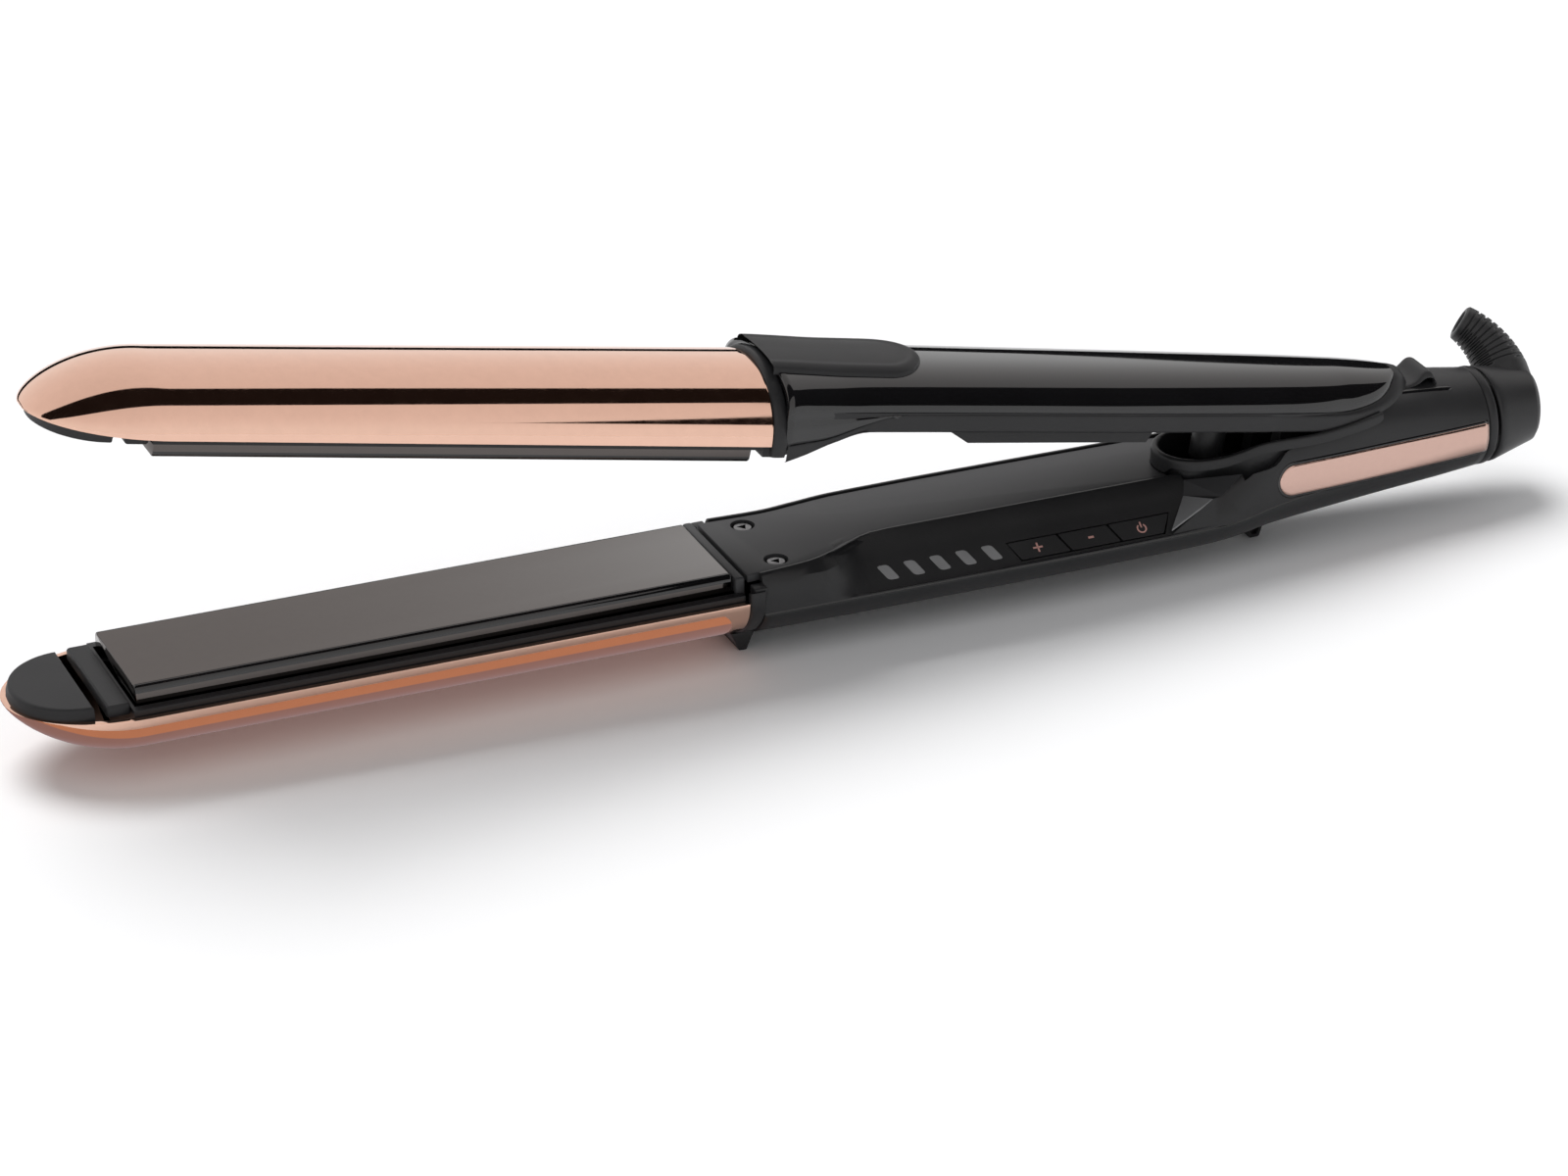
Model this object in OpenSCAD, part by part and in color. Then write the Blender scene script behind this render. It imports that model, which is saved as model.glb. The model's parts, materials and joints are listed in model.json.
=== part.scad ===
// Hair straightener with two hinged arms, floating plates, a slide lock and a swivel cord entry.
// The lower arm stands on two small feet; the upper arm is drawn open on its spring.
// X runs from the plates (-) to the cord end (+), Y is across, +Z is up.

/* [Arms] */
// How far the upper arm stands open, in degrees
open_deg = 10.8; // [10.6:0.1:11.2]
// Height of the plane where the two plates meet when the arms are shut
close_z = 17.4; // [17.2:0.1:17.6]
// Distance of the hinge pin behind the front foot
hinge_x = 110; // [109:0.5:111]
// Height of the hinge pin
hinge_z = 10.4; // [10.2:0.1:10.6]

/* [Plates] */
// Length of a heating plate
plate_len = 110; // [108:0.5:110]
// Width of a heating plate
plate_w = 24; // [23:0.5:24]

/* [Barrels] */
// Half the width of a barrel shell at its rim
barrel_a = 15.5; // [15.3:0.1:15.6]
// Depth of the lower barrel shell below its rim
lower_b = 10.2; // [10:0.1:10.4]
// Depth of the upper shell where the nose begins
upper_b_front = 9.6; // [9.4:0.1:9.8]
// Depth of the upper shell at the handle
upper_b_rear = 11.2; // [11:0.1:11.4]
// Length of the rounded nose of a barrel
nose_len = 22; // [21:0.5:22]
// Wall thickness of the barrel shells
shell_t = 1.2; // [1:0.1:1.3]

/* [Handle] */
// Half the width of the lower casing at mid handle
casing_w = 14.6; // [14.4:0.1:14.8]
// Wall thickness of the casings
wall = 1.6; // [1.4:0.1:1.8]
// Height of the inner cover's top face
cover_z = 16.8; // [16.6:0.1:16.9]
// Half the width of the upper handle at its front
handle_w = 13.9; // [13.6:0.1:14]
// Height of the upper handle's crown, arms shut
crown_z = 33.7; // [33.4:0.1:33.9]

/* [Cord entry] */
// Radius of the ring where the swivel meets the casing
ring_r = 9.4; // [9.2:0.1:9.6]
// Height of the swivel's axis
swivel_z = 15.7; // [15.5:0.1:15.9]
// Radius of the bore that takes the cord
cord_r = 2.4; // [2.2:0.1:2.5]

/* [Hidden] */
$fn = 48;
eps = 0.01;
gap = 0.1;                          // air between pieces that touch in the real object

// Stations along the arm
joint_x = -2;                       // barrel shells end here
plate_x1 = -4;                      // rear end of the plates
plate_x0 = plate_x1 - plate_len;    // front end of the plates
nose_x = -112.2;                    // where the nose starts to round
rim_d = 4.55;                       // rim of a barrel shell behind the closing plane
arm_steps = 16;                     // facets round half a barrel
nose_steps = 9;                     // rings along a nose
pad_x = -121.3;                     // straight rear edge of the tip pad
pad_d = 2.5;                        // tip pad's face behind the closing plane
channel_d = 9.2;                    // floor of the plate channel behind the closing plane
channel_w = 10.2;                   // half the width of that channel
cushion_x = [-97, -59, -21];
fuse_x = -40;

// Handle
seam_z = 9.6;                       // seam between the bottom and top casing
casing_x0 = 1.3;
casing_x1 = 151.7;                  // the rear ring starts here
tray_z0 = 24.4;                     // underside of the upper frame, arms shut
tray_z1 = 27.8;                     // top of its border
tail_x0 = 100;                      // where the handle's tail starts to round
tail_len = 34;
tail_w = 11.4;
panel_y = -4.2;                     // upper edge of the control panel
panel_foot_y = -14;                 // its lower edge, on the seam
panel_deg = atan((cover_z - seam_z) / (panel_y - panel_foot_y));
screw_x = 6.3;                      // two screws through the inner cover
screw_y = 7.7;
frame_screw_x = 12;                 // two more under the upper frame
button_t = 1.4;
board_depth = 3;                    // circuit board behind the panel's face
well_x = 92.4;                      // centre of the spring well's round end
well_r = 8.4;
lip_t = 1.5;
lip_z = 20.6;
well_floor_z = 12.4;
post_x = 95.1;                      // spring post, arms shut
pin_r = 1.6;
pin_half = 9.6;
bush_r = 2.4;
lug_r = 3.5;
lug_y0 = 3.2;
lug_y1 = 6.2;
tongue_x = 136;                     // tip of the lock's tongue when it is open
tongue_z0 = 20.6;
tongue_z1 = 21.8;
nub_x = 139.7;
nest_w = 11.8;                      // opening between the cheeks
nest_x1 = 138;
relief_tilt = 43;                   // the strain relief leaves the cap this far above level
relief_r = 16;                      // radius of its bend
relief_arc = 45.5;                  // angle of its bend
relief_seat = 5.6;                  // it is held in the cap from this distance off the swivel's axis
relief_root = 7.6;                  // its bend starts here
relief_x = 162.6;                   // its place along the swivel
cord_depth = 5;                     // depth of the cord bore at its end

black = [0.09, 0.09, 0.095];
dark = [0.14, 0.14, 0.145];
gold = [0.86, 0.62, 0.5];
steel = [0.72, 0.73, 0.75];

// ---------- shared shapes ----------

function flat(l) = [for (a = l) for (b = a) b];

// Half ellipse from -Y over the crown to +Y, as points [x, y, z]
function arch(x, a, b, z0, n = arm_steps) =
    [for (i = [0:n]) [x, -a * cos(180 * i / n), z0 + b * sin(180 * i / n)]];

// Value at x on a line through [x, value] stations
function along(st, x) = lookup(x, st);

// A thin shell between two grids of the same size. The nose end (first ring) may be closed.
module skin(outer, inner, closed_nose = false) {
    m = len(outer) - 1;
    n = len(outer[0]) - 1;
    row = n + 1;
    half = (m + 1) * row;
    grid_o = [for (u = [0:m - 1]) for (v = [0:n - 1])
        [u * row + v, u * row + v + 1, (u + 1) * row + v + 1, (u + 1) * row + v]];
    grid_i = [for (f = grid_o) [half + f[3], half + f[2], half + f[1], half + f[0]]];
    rim_0 = [for (u = [0:m - 1])
        [u * row, (u + 1) * row, half + (u + 1) * row, half + u * row]];
    rim_n = [for (u = [0:m - 1])
        [half + u * row + n, half + (u + 1) * row + n, (u + 1) * row + n, u * row + n]];
    rear = [for (v = [0:n - 1])
        [m * row + v, m * row + v + 1, half + m * row + v + 1, half + m * row + v]];
    front = closed_nose
        ? [[for (v = [n:-1:0]) v], [for (v = [0:n]) half + v], [0, half, half + n, n]]
        : [for (v = [0:n - 1]) [v, half + v, half + v + 1, v + 1]];
    polyhedron(
        points = concat(flat(outer), flat(inner)),
        faces = concat(grid_o, grid_i, rim_0, rim_n, rear, front),
        convexity = 6
    );
}

// Profile in Y and Z, extruded from x0 to x1
module along_x(x0, x1) {
    translate([x0, 0, 0]) rotate([90, 0, 90]) linear_extrude(x1 - x0) children();
}

// Profile in X and Z, extruded from y0 to y1
module along_y(y0, y1) {
    translate([0, y1, 0]) rotate([90, 0, 0]) linear_extrude(y1 - y0) children();
}

module box(a, b) {
    translate(a) cube(b - a);
}

module mirrored_y() {
    children();
    mirror([0, 1, 0]) children();
}

// Arm-local space has the closing plane at z = 0 and the arm's inside towards +z.
module lower_arm() {
    translate([0, 0, close_z]) mirror([0, 0, 1]) children();
}

// Turns what is drawn with the arms shut to the open position
module opened() {
    translate([hinge_x, 0, hinge_z]) rotate([0, open_deg, 0])
        translate([-hinge_x, 0, -hinge_z]) children();
}

module upper_arm() {
    opened() translate([0, 0, close_z]) children();
}

// ---------- barrels ----------

// Rings of a barrel skin: round nose, then straight to the handle
function barrel_rings(a, b0, b1, len_nose, start_deg) = concat(
    [for (i = [0:nose_steps])
        let (phi = start_deg + (90 - start_deg) * i / nose_steps, s = sin(phi))
        arch(nose_x - len_nose * cos(phi), a * s, b0 * pow(s, 1.6), rim_d)],
    [arch(joint_x, a, b1, rim_d)]
);

module barrel_shell(b0, b1) {
    skin(
        barrel_rings(barrel_a, b0, b1, nose_len, 8),
        barrel_rings(barrel_a - shell_t, b0 - shell_t, b1 - shell_t, nose_len - shell_t, 10),
        true
    );
}

module lower_shell() {
    color(gold) lower_arm() barrel_shell(lower_b, lower_b);
}

module upper_shell() {
    color(gold) upper_arm() barrel_shell(upper_b_front, upper_b_rear);
}

// Channel that holds the plate, heater and cushions inside a shell
module carrier() {
    a = barrel_a - shell_t - 0.2;
    b = upper_b_front - shell_t - 0.4;
    ledge_d = 3.4;
    shoulder_w = plate_w / 2 + 0.4;
    shoulder_d = 5.5;
    x0 = plate_x0 - 1;
    x1 = joint_x - 0.3;
    difference() {
        along_x(x0, x1) polygon(concat(
            [[a, ledge_d], [-a, ledge_d]],
            [for (i = [0:arm_steps]) [-a * cos(180 * i / arm_steps), rim_d + b * sin(180 * i / arm_steps)]]
        ));
        box([plate_x0 - 0.4, -shoulder_w, ledge_d - 1], [plate_x1 + 0.4, shoulder_w, shoulder_d]);
        box([plate_x0 - 0.4, -channel_w, ledge_d], [plate_x1 + 0.4, channel_w, channel_d]);
    }
}

module lower_carrier() {
    color(black) lower_arm() carrier();
}

module upper_carrier() {
    color(black) upper_arm() carrier();
}

// Half disc that guards the tip, with the bar between it and the plate
module tip_pad() {
    foot_d = 4.5;
    module half_disc(lx, w, d0, d1) {
        translate([pad_x, 0, d0]) linear_extrude(d1 - d0)
            polygon([for (i = [0:24]) [-lx * sin(180 * i / 24), -w * cos(180 * i / 24)]]);
    }
    half_disc(11.5, 11.75, pad_d, foot_d - 1);
    half_disc(12.3, 12.6, foot_d - 1.2, foot_d);
    box([-119, -12.2, pad_d], [plate_x0 - 1.2, 12.2, foot_d]);
    box([-130, -5.5, foot_d - eps], [plate_x0 - 1.2, 5.5, foot_d + 1]);
}

module lower_tip_pad() {
    color(black) lower_arm() tip_pad();
}

module upper_tip_pad() {
    color(black) upper_arm() tip_pad();
}

// Slab with rounded long edges, a skirt each side and two rails for the heater
module plate() {
    w = plate_w / 2;
    edge = 1.1;
    slab = 2.2;
    skirt_d = 4.3;
    rail_d = 6.8;
    steps = 5;
    along_x(plate_x0, plate_x1) polygon(concat(
        [for (i = [0:steps]) [-w + edge - edge * cos(90 * i / steps), edge - edge * sin(90 * i / steps)]],
        [for (i = [0:steps]) [w - edge + edge * sin(90 * i / steps), edge - edge * cos(90 * i / steps)]],
        [[w, skirt_d], [w - 1.2, skirt_d], [w - 1.2, slab], [9.8, slab], [9.8, rail_d], [8.6, rail_d],
         [8.6, slab], [-8.6, slab], [-8.6, rail_d], [-9.8, rail_d], [-9.8, slab], [1.2 - w, slab],
         [1.2 - w, skirt_d], [-w, skirt_d]]
    ));
}

module heater() {
    heater_l = 70;
    box([-59 - heater_l / 2, -8, 2.2 + eps], [-59 + heater_l / 2, 8, 4.6]);
}

module heater_clip() {
    box([-100, -8.4, 4.7], [-18, 8.4, 5.5]);
    for (x = [-96, -22]) box([x - 3, -8.4, 5.5 - eps], [x + 3, 8.4, 6.8]);
}

module thermal_fuse() {
    translate([fuse_x, 0, 6.75]) rotate([0, 90, 0]) {
        cylinder(h = 11, r = 1.15, center = true);
        cylinder(h = 17, r = 0.4, center = true);
    }
}

module lower_plate() {
    color(dark) lower_arm() plate();
}

module upper_plate() {
    color(dark) upper_arm() plate();
}

module lower_heater() {
    color("ivory") lower_arm() heater();
}

module upper_heater() {
    color("ivory") upper_arm() heater();
}

module lower_heater_clip() {
    color(steel) lower_arm() heater_clip();
}

module upper_heater_clip() {
    color(steel) upper_arm() heater_clip();
}

module lower_thermal_fuse() {
    color(steel) lower_arm() thermal_fuse();
}

module upper_thermal_fuse() {
    color(steel) upper_arm() thermal_fuse();
}

module cushions() {
    for (x = cushion_x) box([x - 3.5, -7, 6.85], [x + 3.5, 7, channel_d - eps]);
}

module lower_cushions() {
    color("salmon") lower_arm() cushions();
}

module upper_cushions() {
    color("salmon") upper_arm() cushions();
}

// ---------- lower handle ----------

// Stations of the lower casing: half width, lowest point, seam height
half_w = [[0, 14.4], [20, casing_w], [60, 14.8], [88, 14.3], [101, 13.2], [106, 12.7],
          [118, 11.9], [129, 11.1], [143, 10.2], [152, ring_r]];
low_z = [[0, 2.4], [20, 2.2], [88, 2.3], [96, 2.5], [106, 3.6], [129, 5], [143, 5.7],
    [152, swivel_z - ring_r]];
split_z = [[0, seam_z], [96, seam_z], [106, 11.2], [129, 13.4], [143, 14.8], [152, swivel_z]];
top_z = [[0, cover_z], [86, cover_z], [96, 20], [106, 25], [129, 26.2], [143, 26],
    [152, swivel_z + ring_r]];
bottom_x = [casing_x0, 20, 60, 88, 96, 106, 118, 129, 143, casing_x1];
rear_x = [88, 96, 106, 118, 129, 136, 143, casing_x1];

function low_ring(x, t, n = 12) =
    [for (p = arch(x, along(half_w, x) - t, along(split_z, x) - along(low_z, x) - t, 0, n))
    [p[0], p[1], -p[2] + along(split_z, x)]];
// The cheeks are squarer in section than the rear end: 1 is an ellipse
square_off = [[88, 1], [98, 0.8], [106, 0.5], [122, 0.5], [casing_x1, 1]];
function top_ring(x, t, n = 16) = let (a = along(half_w, x) - t, z0 = along(split_z, x) + 0.05,
    b = along(top_z, x) - t - z0, e = along(square_off, x))
    [for (i = [0:n]) let (c = cos(180 * i / n), s = sin(180 * i / n))
        [x, -a * sign(c) * pow(abs(c), e), z0 + b * pow(max(0, s), e)]];

module hinge_bosses() {
    boss_r = 2.9;
    boss_len = 2.8;
    mirrored_y() difference() {
        translate([hinge_x, 10.2, hinge_z]) rotate([90, 0, 0]) cylinder(h = boss_len, r = boss_r);
        translate([hinge_x, pin_half + 0.1, hinge_z]) rotate([90, 0, 0])
            cylinder(h = boss_len + 1, r = pin_r + 0.01);
    }
}

module lower_bottom_casing() {
    foot_x = 106;
    color(black) {
        mirror([0, 0, 1]) skin(
            [for (x = bottom_x) [for (p = low_ring(x, 0)) [p[0], p[1], -p[2]]]],
            [for (x = bottom_x) [for (p = low_ring(x, wall)) [p[0], p[1], -p[2]]]]
        );
        hinge_bosses();
        along_y(-2.5, 2.5)
            polygon([[foot_x - 2, 4.4], [foot_x - 1, 0], [foot_x + 1, 0], [foot_x + 2, 4.4]]);
        box([60, -5.5, 2.8], [62, 5.5, seam_z - 0.6]);
    }
}

// Plan of the opening between the cheeks, where the tail of the upper arm swings
function nest_plan() = concat(
    [[84, -nest_w]],
    [for (i = [0:16]) [tail_x0 + (nest_x1 - tail_x0) * sin(180 * i / 16), -nest_w * cos(180 * i / 16)]],
    [[84, nest_w]]
);

module stadium(r, x1) {
    translate([well_x, 0]) circle(r);
    translate([well_x, -r]) square([x1 - well_x, 2 * r]);
}

// Local frame of the panel: x along the arm, y up the slope, z out of it
module on_panel(lift = 0) {
    translate([0, panel_y, cover_z]) rotate([panel_deg, 0, 0]) translate([0, 0, lift]) children();
}

// Pocket through the panel for a button or a window
module panel_pocket(profile, depth) {
    on_panel(-depth) linear_extrude(depth + 1) polygon(profile);
}

// Slanted windows and keys: x of each one's upper left corner, then its height along the slope
window_x = [for (i = [0:4]) 24.9 + 5.15 * i];
window_w = 2.3;
window_y = [-10.15, -6.95];
window_lean = 1.5;
key_x = [50.9, 61.1, 71.3, 84.1];
key_y = [-11.15, -7.45];
key_lean = 1.7;
key_gap = 0.5;

function window_outline(x, grow) = [
    [x + window_lean - grow, window_y[0] - grow], [x + window_lean + window_w + grow, window_y[0] - grow],
    [x + window_w + grow, window_y[1] + grow], [x - grow, window_y[1] + grow]];

// The rear end of the last key leans the other way
function key_outline(k, grow) =
    let (x0 = key_x[k], x1 = key_x[k + 1] - key_gap, lean = k == 2 ? -2.3 : key_lean)
    [[x0 + key_lean - grow, key_y[0] - grow], [x1 + lean + grow, key_y[0] - grow],
     [x1 + grow, key_y[1] + grow], [x0 - grow, key_y[1] + grow]];

function key_middle(k) = [(key_x[k] + key_x[k + 1]) / 2 + 0.5, (key_y[0] + key_y[1]) / 2];

// Upper edge of the near wall: it meets the barrel's width first, then runs in to the panel
near_edge = [[0, -12.3], [11, -11], [18, -8.3], [24, -5.2], [28, panel_y], [90, panel_y]];

module deck_front() {
    near_x = [casing_x0, 6, 11, 14.5, 18, 21, 24, 26, 28, 88];
    foot_z = seam_z + 0.05;
    skin(
        [for (x = near_x) [[x, panel_foot_y, foot_z], [x, along(near_edge, x), cover_z]]],
        [for (x = near_x) [[x, panel_foot_y + 1.7, foot_z], [x, along(near_edge, x) + 1.2, cover_z - 1.7]]]
    );
    along_x(casing_x0, 88) polygon([
        [14.4, foot_z], [14.5, cover_z + 0.4], [13.1, cover_z + 0.4], [12.9, foot_z]]);
}

module cheek_cut() {
    along_y(-20, 20) polygon([
        [80, 17], [90, 17.6], [95.4, 20.4], [99, 22.8], [104, 23.9], [113, 23.6],
        [122, 24.1], [130, 24.9], [137.2, 26.6], [137.2, 40], [80, 40]]);
}

module lower_top_casing() {
    color(black) difference() {
        union() {
            deck_front();
            difference() {
                skin([for (x = rear_x) top_ring(x, 0)], [for (x = rear_x) top_ring(x, wall)]);
                cheek_cut();
                translate([0, 0, 5]) linear_extrude(40) polygon(nest_plan());
            }
            translate([0, 0, well_floor_z - 1.2]) linear_extrude(lip_z - well_floor_z + 1.2)
                stadium(well_r, 100);
        }
        translate([0, 0, well_floor_z]) linear_extrude(20) stadium(well_r - lip_t, 101);
        for (k = [0:2]) panel_pocket(key_outline(k, 0.2), 3);
        for (x = window_x) panel_pocket(window_outline(x, 0.05), 3);
        // The cover lies in a step along the panel's edge
        translate([0, 0, cover_z - 1.5]) linear_extrude(3) polygon(cover_plan(0.1));
        // Slot for the lock's stem and tongue
        box([tongue_x - 3, -2.3, tongue_z0 - 0.3], [nub_x + 4.9, 2.3, 30]);
    }
}

// Plan of the inner cover, grown by g
function cover_plan(g) = concat(
    [for (x = [casing_x0 + 0.1 - g, 11, 18, 24, 28, 83.5 + g]) [x, along(near_edge, x) + 0.7 - g]],
    [[83.5 + g, 12.9 + g], [24.5, 12.9 + g], [11, 12.3 + g], [casing_x0 + 0.1 - g, 12.2 + g]]
);

module inner_cover() {
    color(dark) difference() {
        union() {
            translate([0, 0, cover_z - 1.4]) linear_extrude(1.3) polygon(cover_plan(0));
            mirrored_y() translate([screw_x, screw_y, seam_z])
                cylinder(h = cover_z - 1.3 - seam_z, r = 2.6);
        }
        mirrored_y() translate([screw_x, screw_y, seam_z - 1]) cylinder(h = 20, r = 1.5);
        mirrored_y() translate([screw_x, screw_y, cover_z - 1]) cylinder(h = 5, r = 2.3);
    }
}

module screw(r_head, h_head, l) {
    difference() {
        union() {
            translate([0, 0, -h_head]) cylinder(h = h_head, r = r_head);
            translate([0, 0, -l]) cylinder(h = l - h_head + eps, r = 1.4);
        }
        translate([0, 0, -0.8]) cylinder(h = 2, r = 1.25, $fn = 3);
    }
}

module cover_screws() {
    color(steel) mirrored_y() translate([screw_x, screw_y, cover_z - 0.2]) screw(2.1, 0.75, 7.2);
}

module status_windows() {
    color("gray") for (x = window_x) on_panel(0.1 - board_depth) linear_extrude(board_depth)
        polygon(window_outline(x, 0));
}

module control_board() {
    color("darkgreen") on_panel(-board_depth - 1) translate([22, -10.5, 0]) cube([61, 7, 1]);
}

module tact_switches() {
    color(steel) for (k = [0:2]) on_panel(-board_depth + eps) translate(key_middle(k)) {
        translate([-1.5, -1.5, 0]) cube([3, 3, 0.55]);
        cylinder(h = 0.75, r = 0.7);
    }
}

module key(k) {
    stem = 0.3;
    color(black) on_panel() {
        translate([0, 0, -button_t]) linear_extrude(button_t + 0.15) polygon(key_outline(k, 0));
        translate(key_middle(k)) translate([0, 0, -button_t - stem]) cylinder(h = stem + eps, r = 0.9);
    }
}

module plus_button() {
    key(0);
}

module minus_button() {
    key(1);
}

module power_button() {
    key(2);
}

// Band at the end of the barrel, with the front foot under it
module lower_collar() {
    a = barrel_a + 0.3;
    color(black) {
        lower_arm() along_x(joint_x + gap, casing_x0 - gap) polygon(concat(
            [for (i = [0:arm_steps]) let (t = 180 * i / arm_steps)
                [-a * cos(t), rim_d - 0.4 + (lower_b + 0.6) * sin(t)]],
            [[a - 2, 2.2], [12.2, 1.2], [12.2, 3.2], [-12.2, 3.2], [-12.2, 1.2], [2 - a, 2.2]]
        ));
        along_y(-8, 8) polygon([[-1.9, 3.2], [-0.95, 0], [0.95, 0], [1.2, 3.2]]);
    }
}

// Bright strips let into the sides of the rear casing
module side_inlays() {
    function side(x) = along(half_w, x);
    xs = [106, 110, 118, 129, 143, casing_x1 - 0.4];
    zc = [[105, 15.6], [152, 15.2]];
    color(gold) mirrored_y() skin(
        [for (x = xs) [for (i = [0:4]) let (h = (x == 106 ? 1.6 : 3.1))
            [x, -(side(x) + 0.25), along(zc, x) + h * (1 - i / 2)]]],
        [for (x = xs) [for (i = [0:4]) let (h = (x == 106 ? 1.6 : 3.1))
            [x, -(side(x) + 0.02), along(zc, x) + h * (1 - i / 2)]]]
    );
}

module hinge_pin() {
    color(steel) translate([hinge_x, pin_half, hinge_z]) rotate([90, 0, 0])
        cylinder(h = 2 * pin_half, r = pin_r);
}

// Coil spring between the well's floor and the post, in line with the open post
module opening_spring() {
    coil_r = 1.7;
    wire_r = 0.3;
    turns = 6;
    per_turn = 12;
    sides = 6;
    pitch = 1.55;
    z0 = 10.9;
    n = turns * per_turn;
    pts = [for (i = [0:n]) for (k = [0:sides - 1])
        let (t = 360 * i / per_turn, q = 360 * k / sides, r = coil_r + wire_r * cos(q))
        [post_x + r * cos(t), r * sin(t), z0 + pitch * i / per_turn + wire_r * sin(q)]];
    faces = concat(
        [for (i = [0:n - 1]) for (k = [0:sides - 1]) let (j = (k + 1) % sides)
            [i * sides + k, i * sides + j, (i + 1) * sides + j, (i + 1) * sides + k]],
        [[for (k = [sides - 1:-1:0]) k], [for (k = [0:sides - 1]) n * sides + k]]
    );
    color(steel) opened() polyhedron(points = pts, faces = faces, convexity = 8);
}

// ---------- swivel ----------

module swivel_frame() {
    translate([casing_x1, 0, swivel_z]) rotate([0, 90, 0]) children();
}

module rear_ring() {
    color(black) swivel_frame() difference() {
        translate([0, 0, gap]) cylinder(h = 2, r = ring_r);
        cylinder(h = 5, r = 6.2);
    }
}

module swivel_bearing() {
    color(dark) swivel_frame() difference() {
        translate([0, 0, -6]) cylinder(h = 8, r = 6.1);
        translate([0, 0, -7]) cylinder(h = 12, r = 4.05);
        translate([0, 0, -0.5]) cylinder(h = 4, r = 4.9);
    }
}

module swivel_spindle() {
    color(black) swivel_frame() {
        translate([0, 0, -12.5]) cylinder(h = 15.7, r = 4);
        translate([0, 0, -7.4]) cylinder(h = 1.2, r = 4.7);
    }
}

module slip_rings() {
    color("peru") swivel_frame() for (z = [-9.6, -12.2]) difference() {
        translate([0, 0, z]) cylinder(h = 1.6, r = 4.4);
        translate([0, 0, z - 1]) cylinder(h = 4, r = 4 + eps);
    }
}

module swivel_brushes() {
    color("peru") mirrored_y() for (x = [casing_x1 - 11.9, casing_x1 - 9.3])
        box([x, 4.5, swivel_z - 1.2], [x + 1, 7.2, swivel_z + 1.2]);
}

module swivel_cap() {
    end_r = 6.6;
    cone_z = 13.6;
    dome = 2.2;
    color(black) difference() {
        swivel_frame() difference() {
            rotate_extrude() polygon(concat(
                [[0, 3.3], [ring_r - 1, 3.3], [ring_r - 0.5, 2.7], [ring_r - 0.15, 3], [end_r, cone_z]],
                [for (i = [1:5]) [end_r * cos(15 * i), cone_z + dome * sin(15 * i)]],
                [[0, cone_z + dome]]
            ));
            translate([0, 0, 3.2]) cylinder(h = 7, r = 5.2);
        }
        relief_frame() translate([0, 0, relief_seat - 0.05]) cylinder(h = 9, r = 5.05);
    }
}

// Local frame of the strain relief: its root leaves along +z
module relief_frame() {
    translate([relief_x, 0, swivel_z]) rotate([relief_tilt - 90, 0, 0]) children();
}

// Ribbed, tapered sleeve that bends towards the handle
module strain_relief() {
    steps = 18;
    sides = 20;
    root_r = 5;
    taper = 1.5;
    // every second ring between the ends is a slot
    function radius(i) = root_r - taper * i / steps - ((i > 3 && i < 17 && i % 2 == 0) ? 0.45 : 0);
    bend = [for (i = [0:steps]) for (k = [0:sides - 1])
        let (t = relief_arc * i / steps, q = 360 * k / sides, r = radius(i))
        [-relief_r * (1 - cos(t)) + r * cos(q) * cos(t), r * sin(q),
         relief_root + relief_r * sin(t) + r * cos(q) * sin(t)]];
    seat = [for (k = [0:sides - 1]) let (q = 360 * k / sides)
        [root_r * cos(q), root_r * sin(q), relief_seat]];
    rings = steps + 2;
    faces = concat(
        [for (i = [0:rings - 2]) for (k = [0:sides - 1]) let (j = (k + 1) % sides)
            [i * sides + k, (i + 1) * sides + k, (i + 1) * sides + j, i * sides + j]],
        [[for (k = [0:sides - 1]) k], [for (k = [sides - 1:-1:0]) (rings - 1) * sides + k]]
    );
    color(black) relief_frame() difference() {
        polyhedron(points = concat(seat, bend), faces = faces, convexity = 4);
        translate([-relief_r * (1 - cos(relief_arc)), 0, relief_root + relief_r * sin(relief_arc)])
            rotate([0, -relief_arc, 0]) translate([0, 0, -cord_depth])
                cylinder(h = cord_depth + 1, r = cord_r);
    }
}

// ---------- upper handle, drawn with the arms shut ----------

function handle_half(x) =
    lookup(x, [[1, handle_w + 0.2], [17, 13.6], [40, 13], [70, 12.4], [tail_x0, tail_w]]);

// Plan of the border, shrunk by t
function border_plan(t, x0 = 7.1) = concat(
    [for (x = [x0, 17, 40, 70]) [x, t - handle_half(x)]],
    [for (i = [0:20]) [tail_x0 + (tail_len - t) * sin(180 * i / 20), -(tail_w - t) * cos(180 * i / 20)]],
    [for (x = [70, 40, 17, x0]) [x, handle_half(x) - t]]
);

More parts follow.
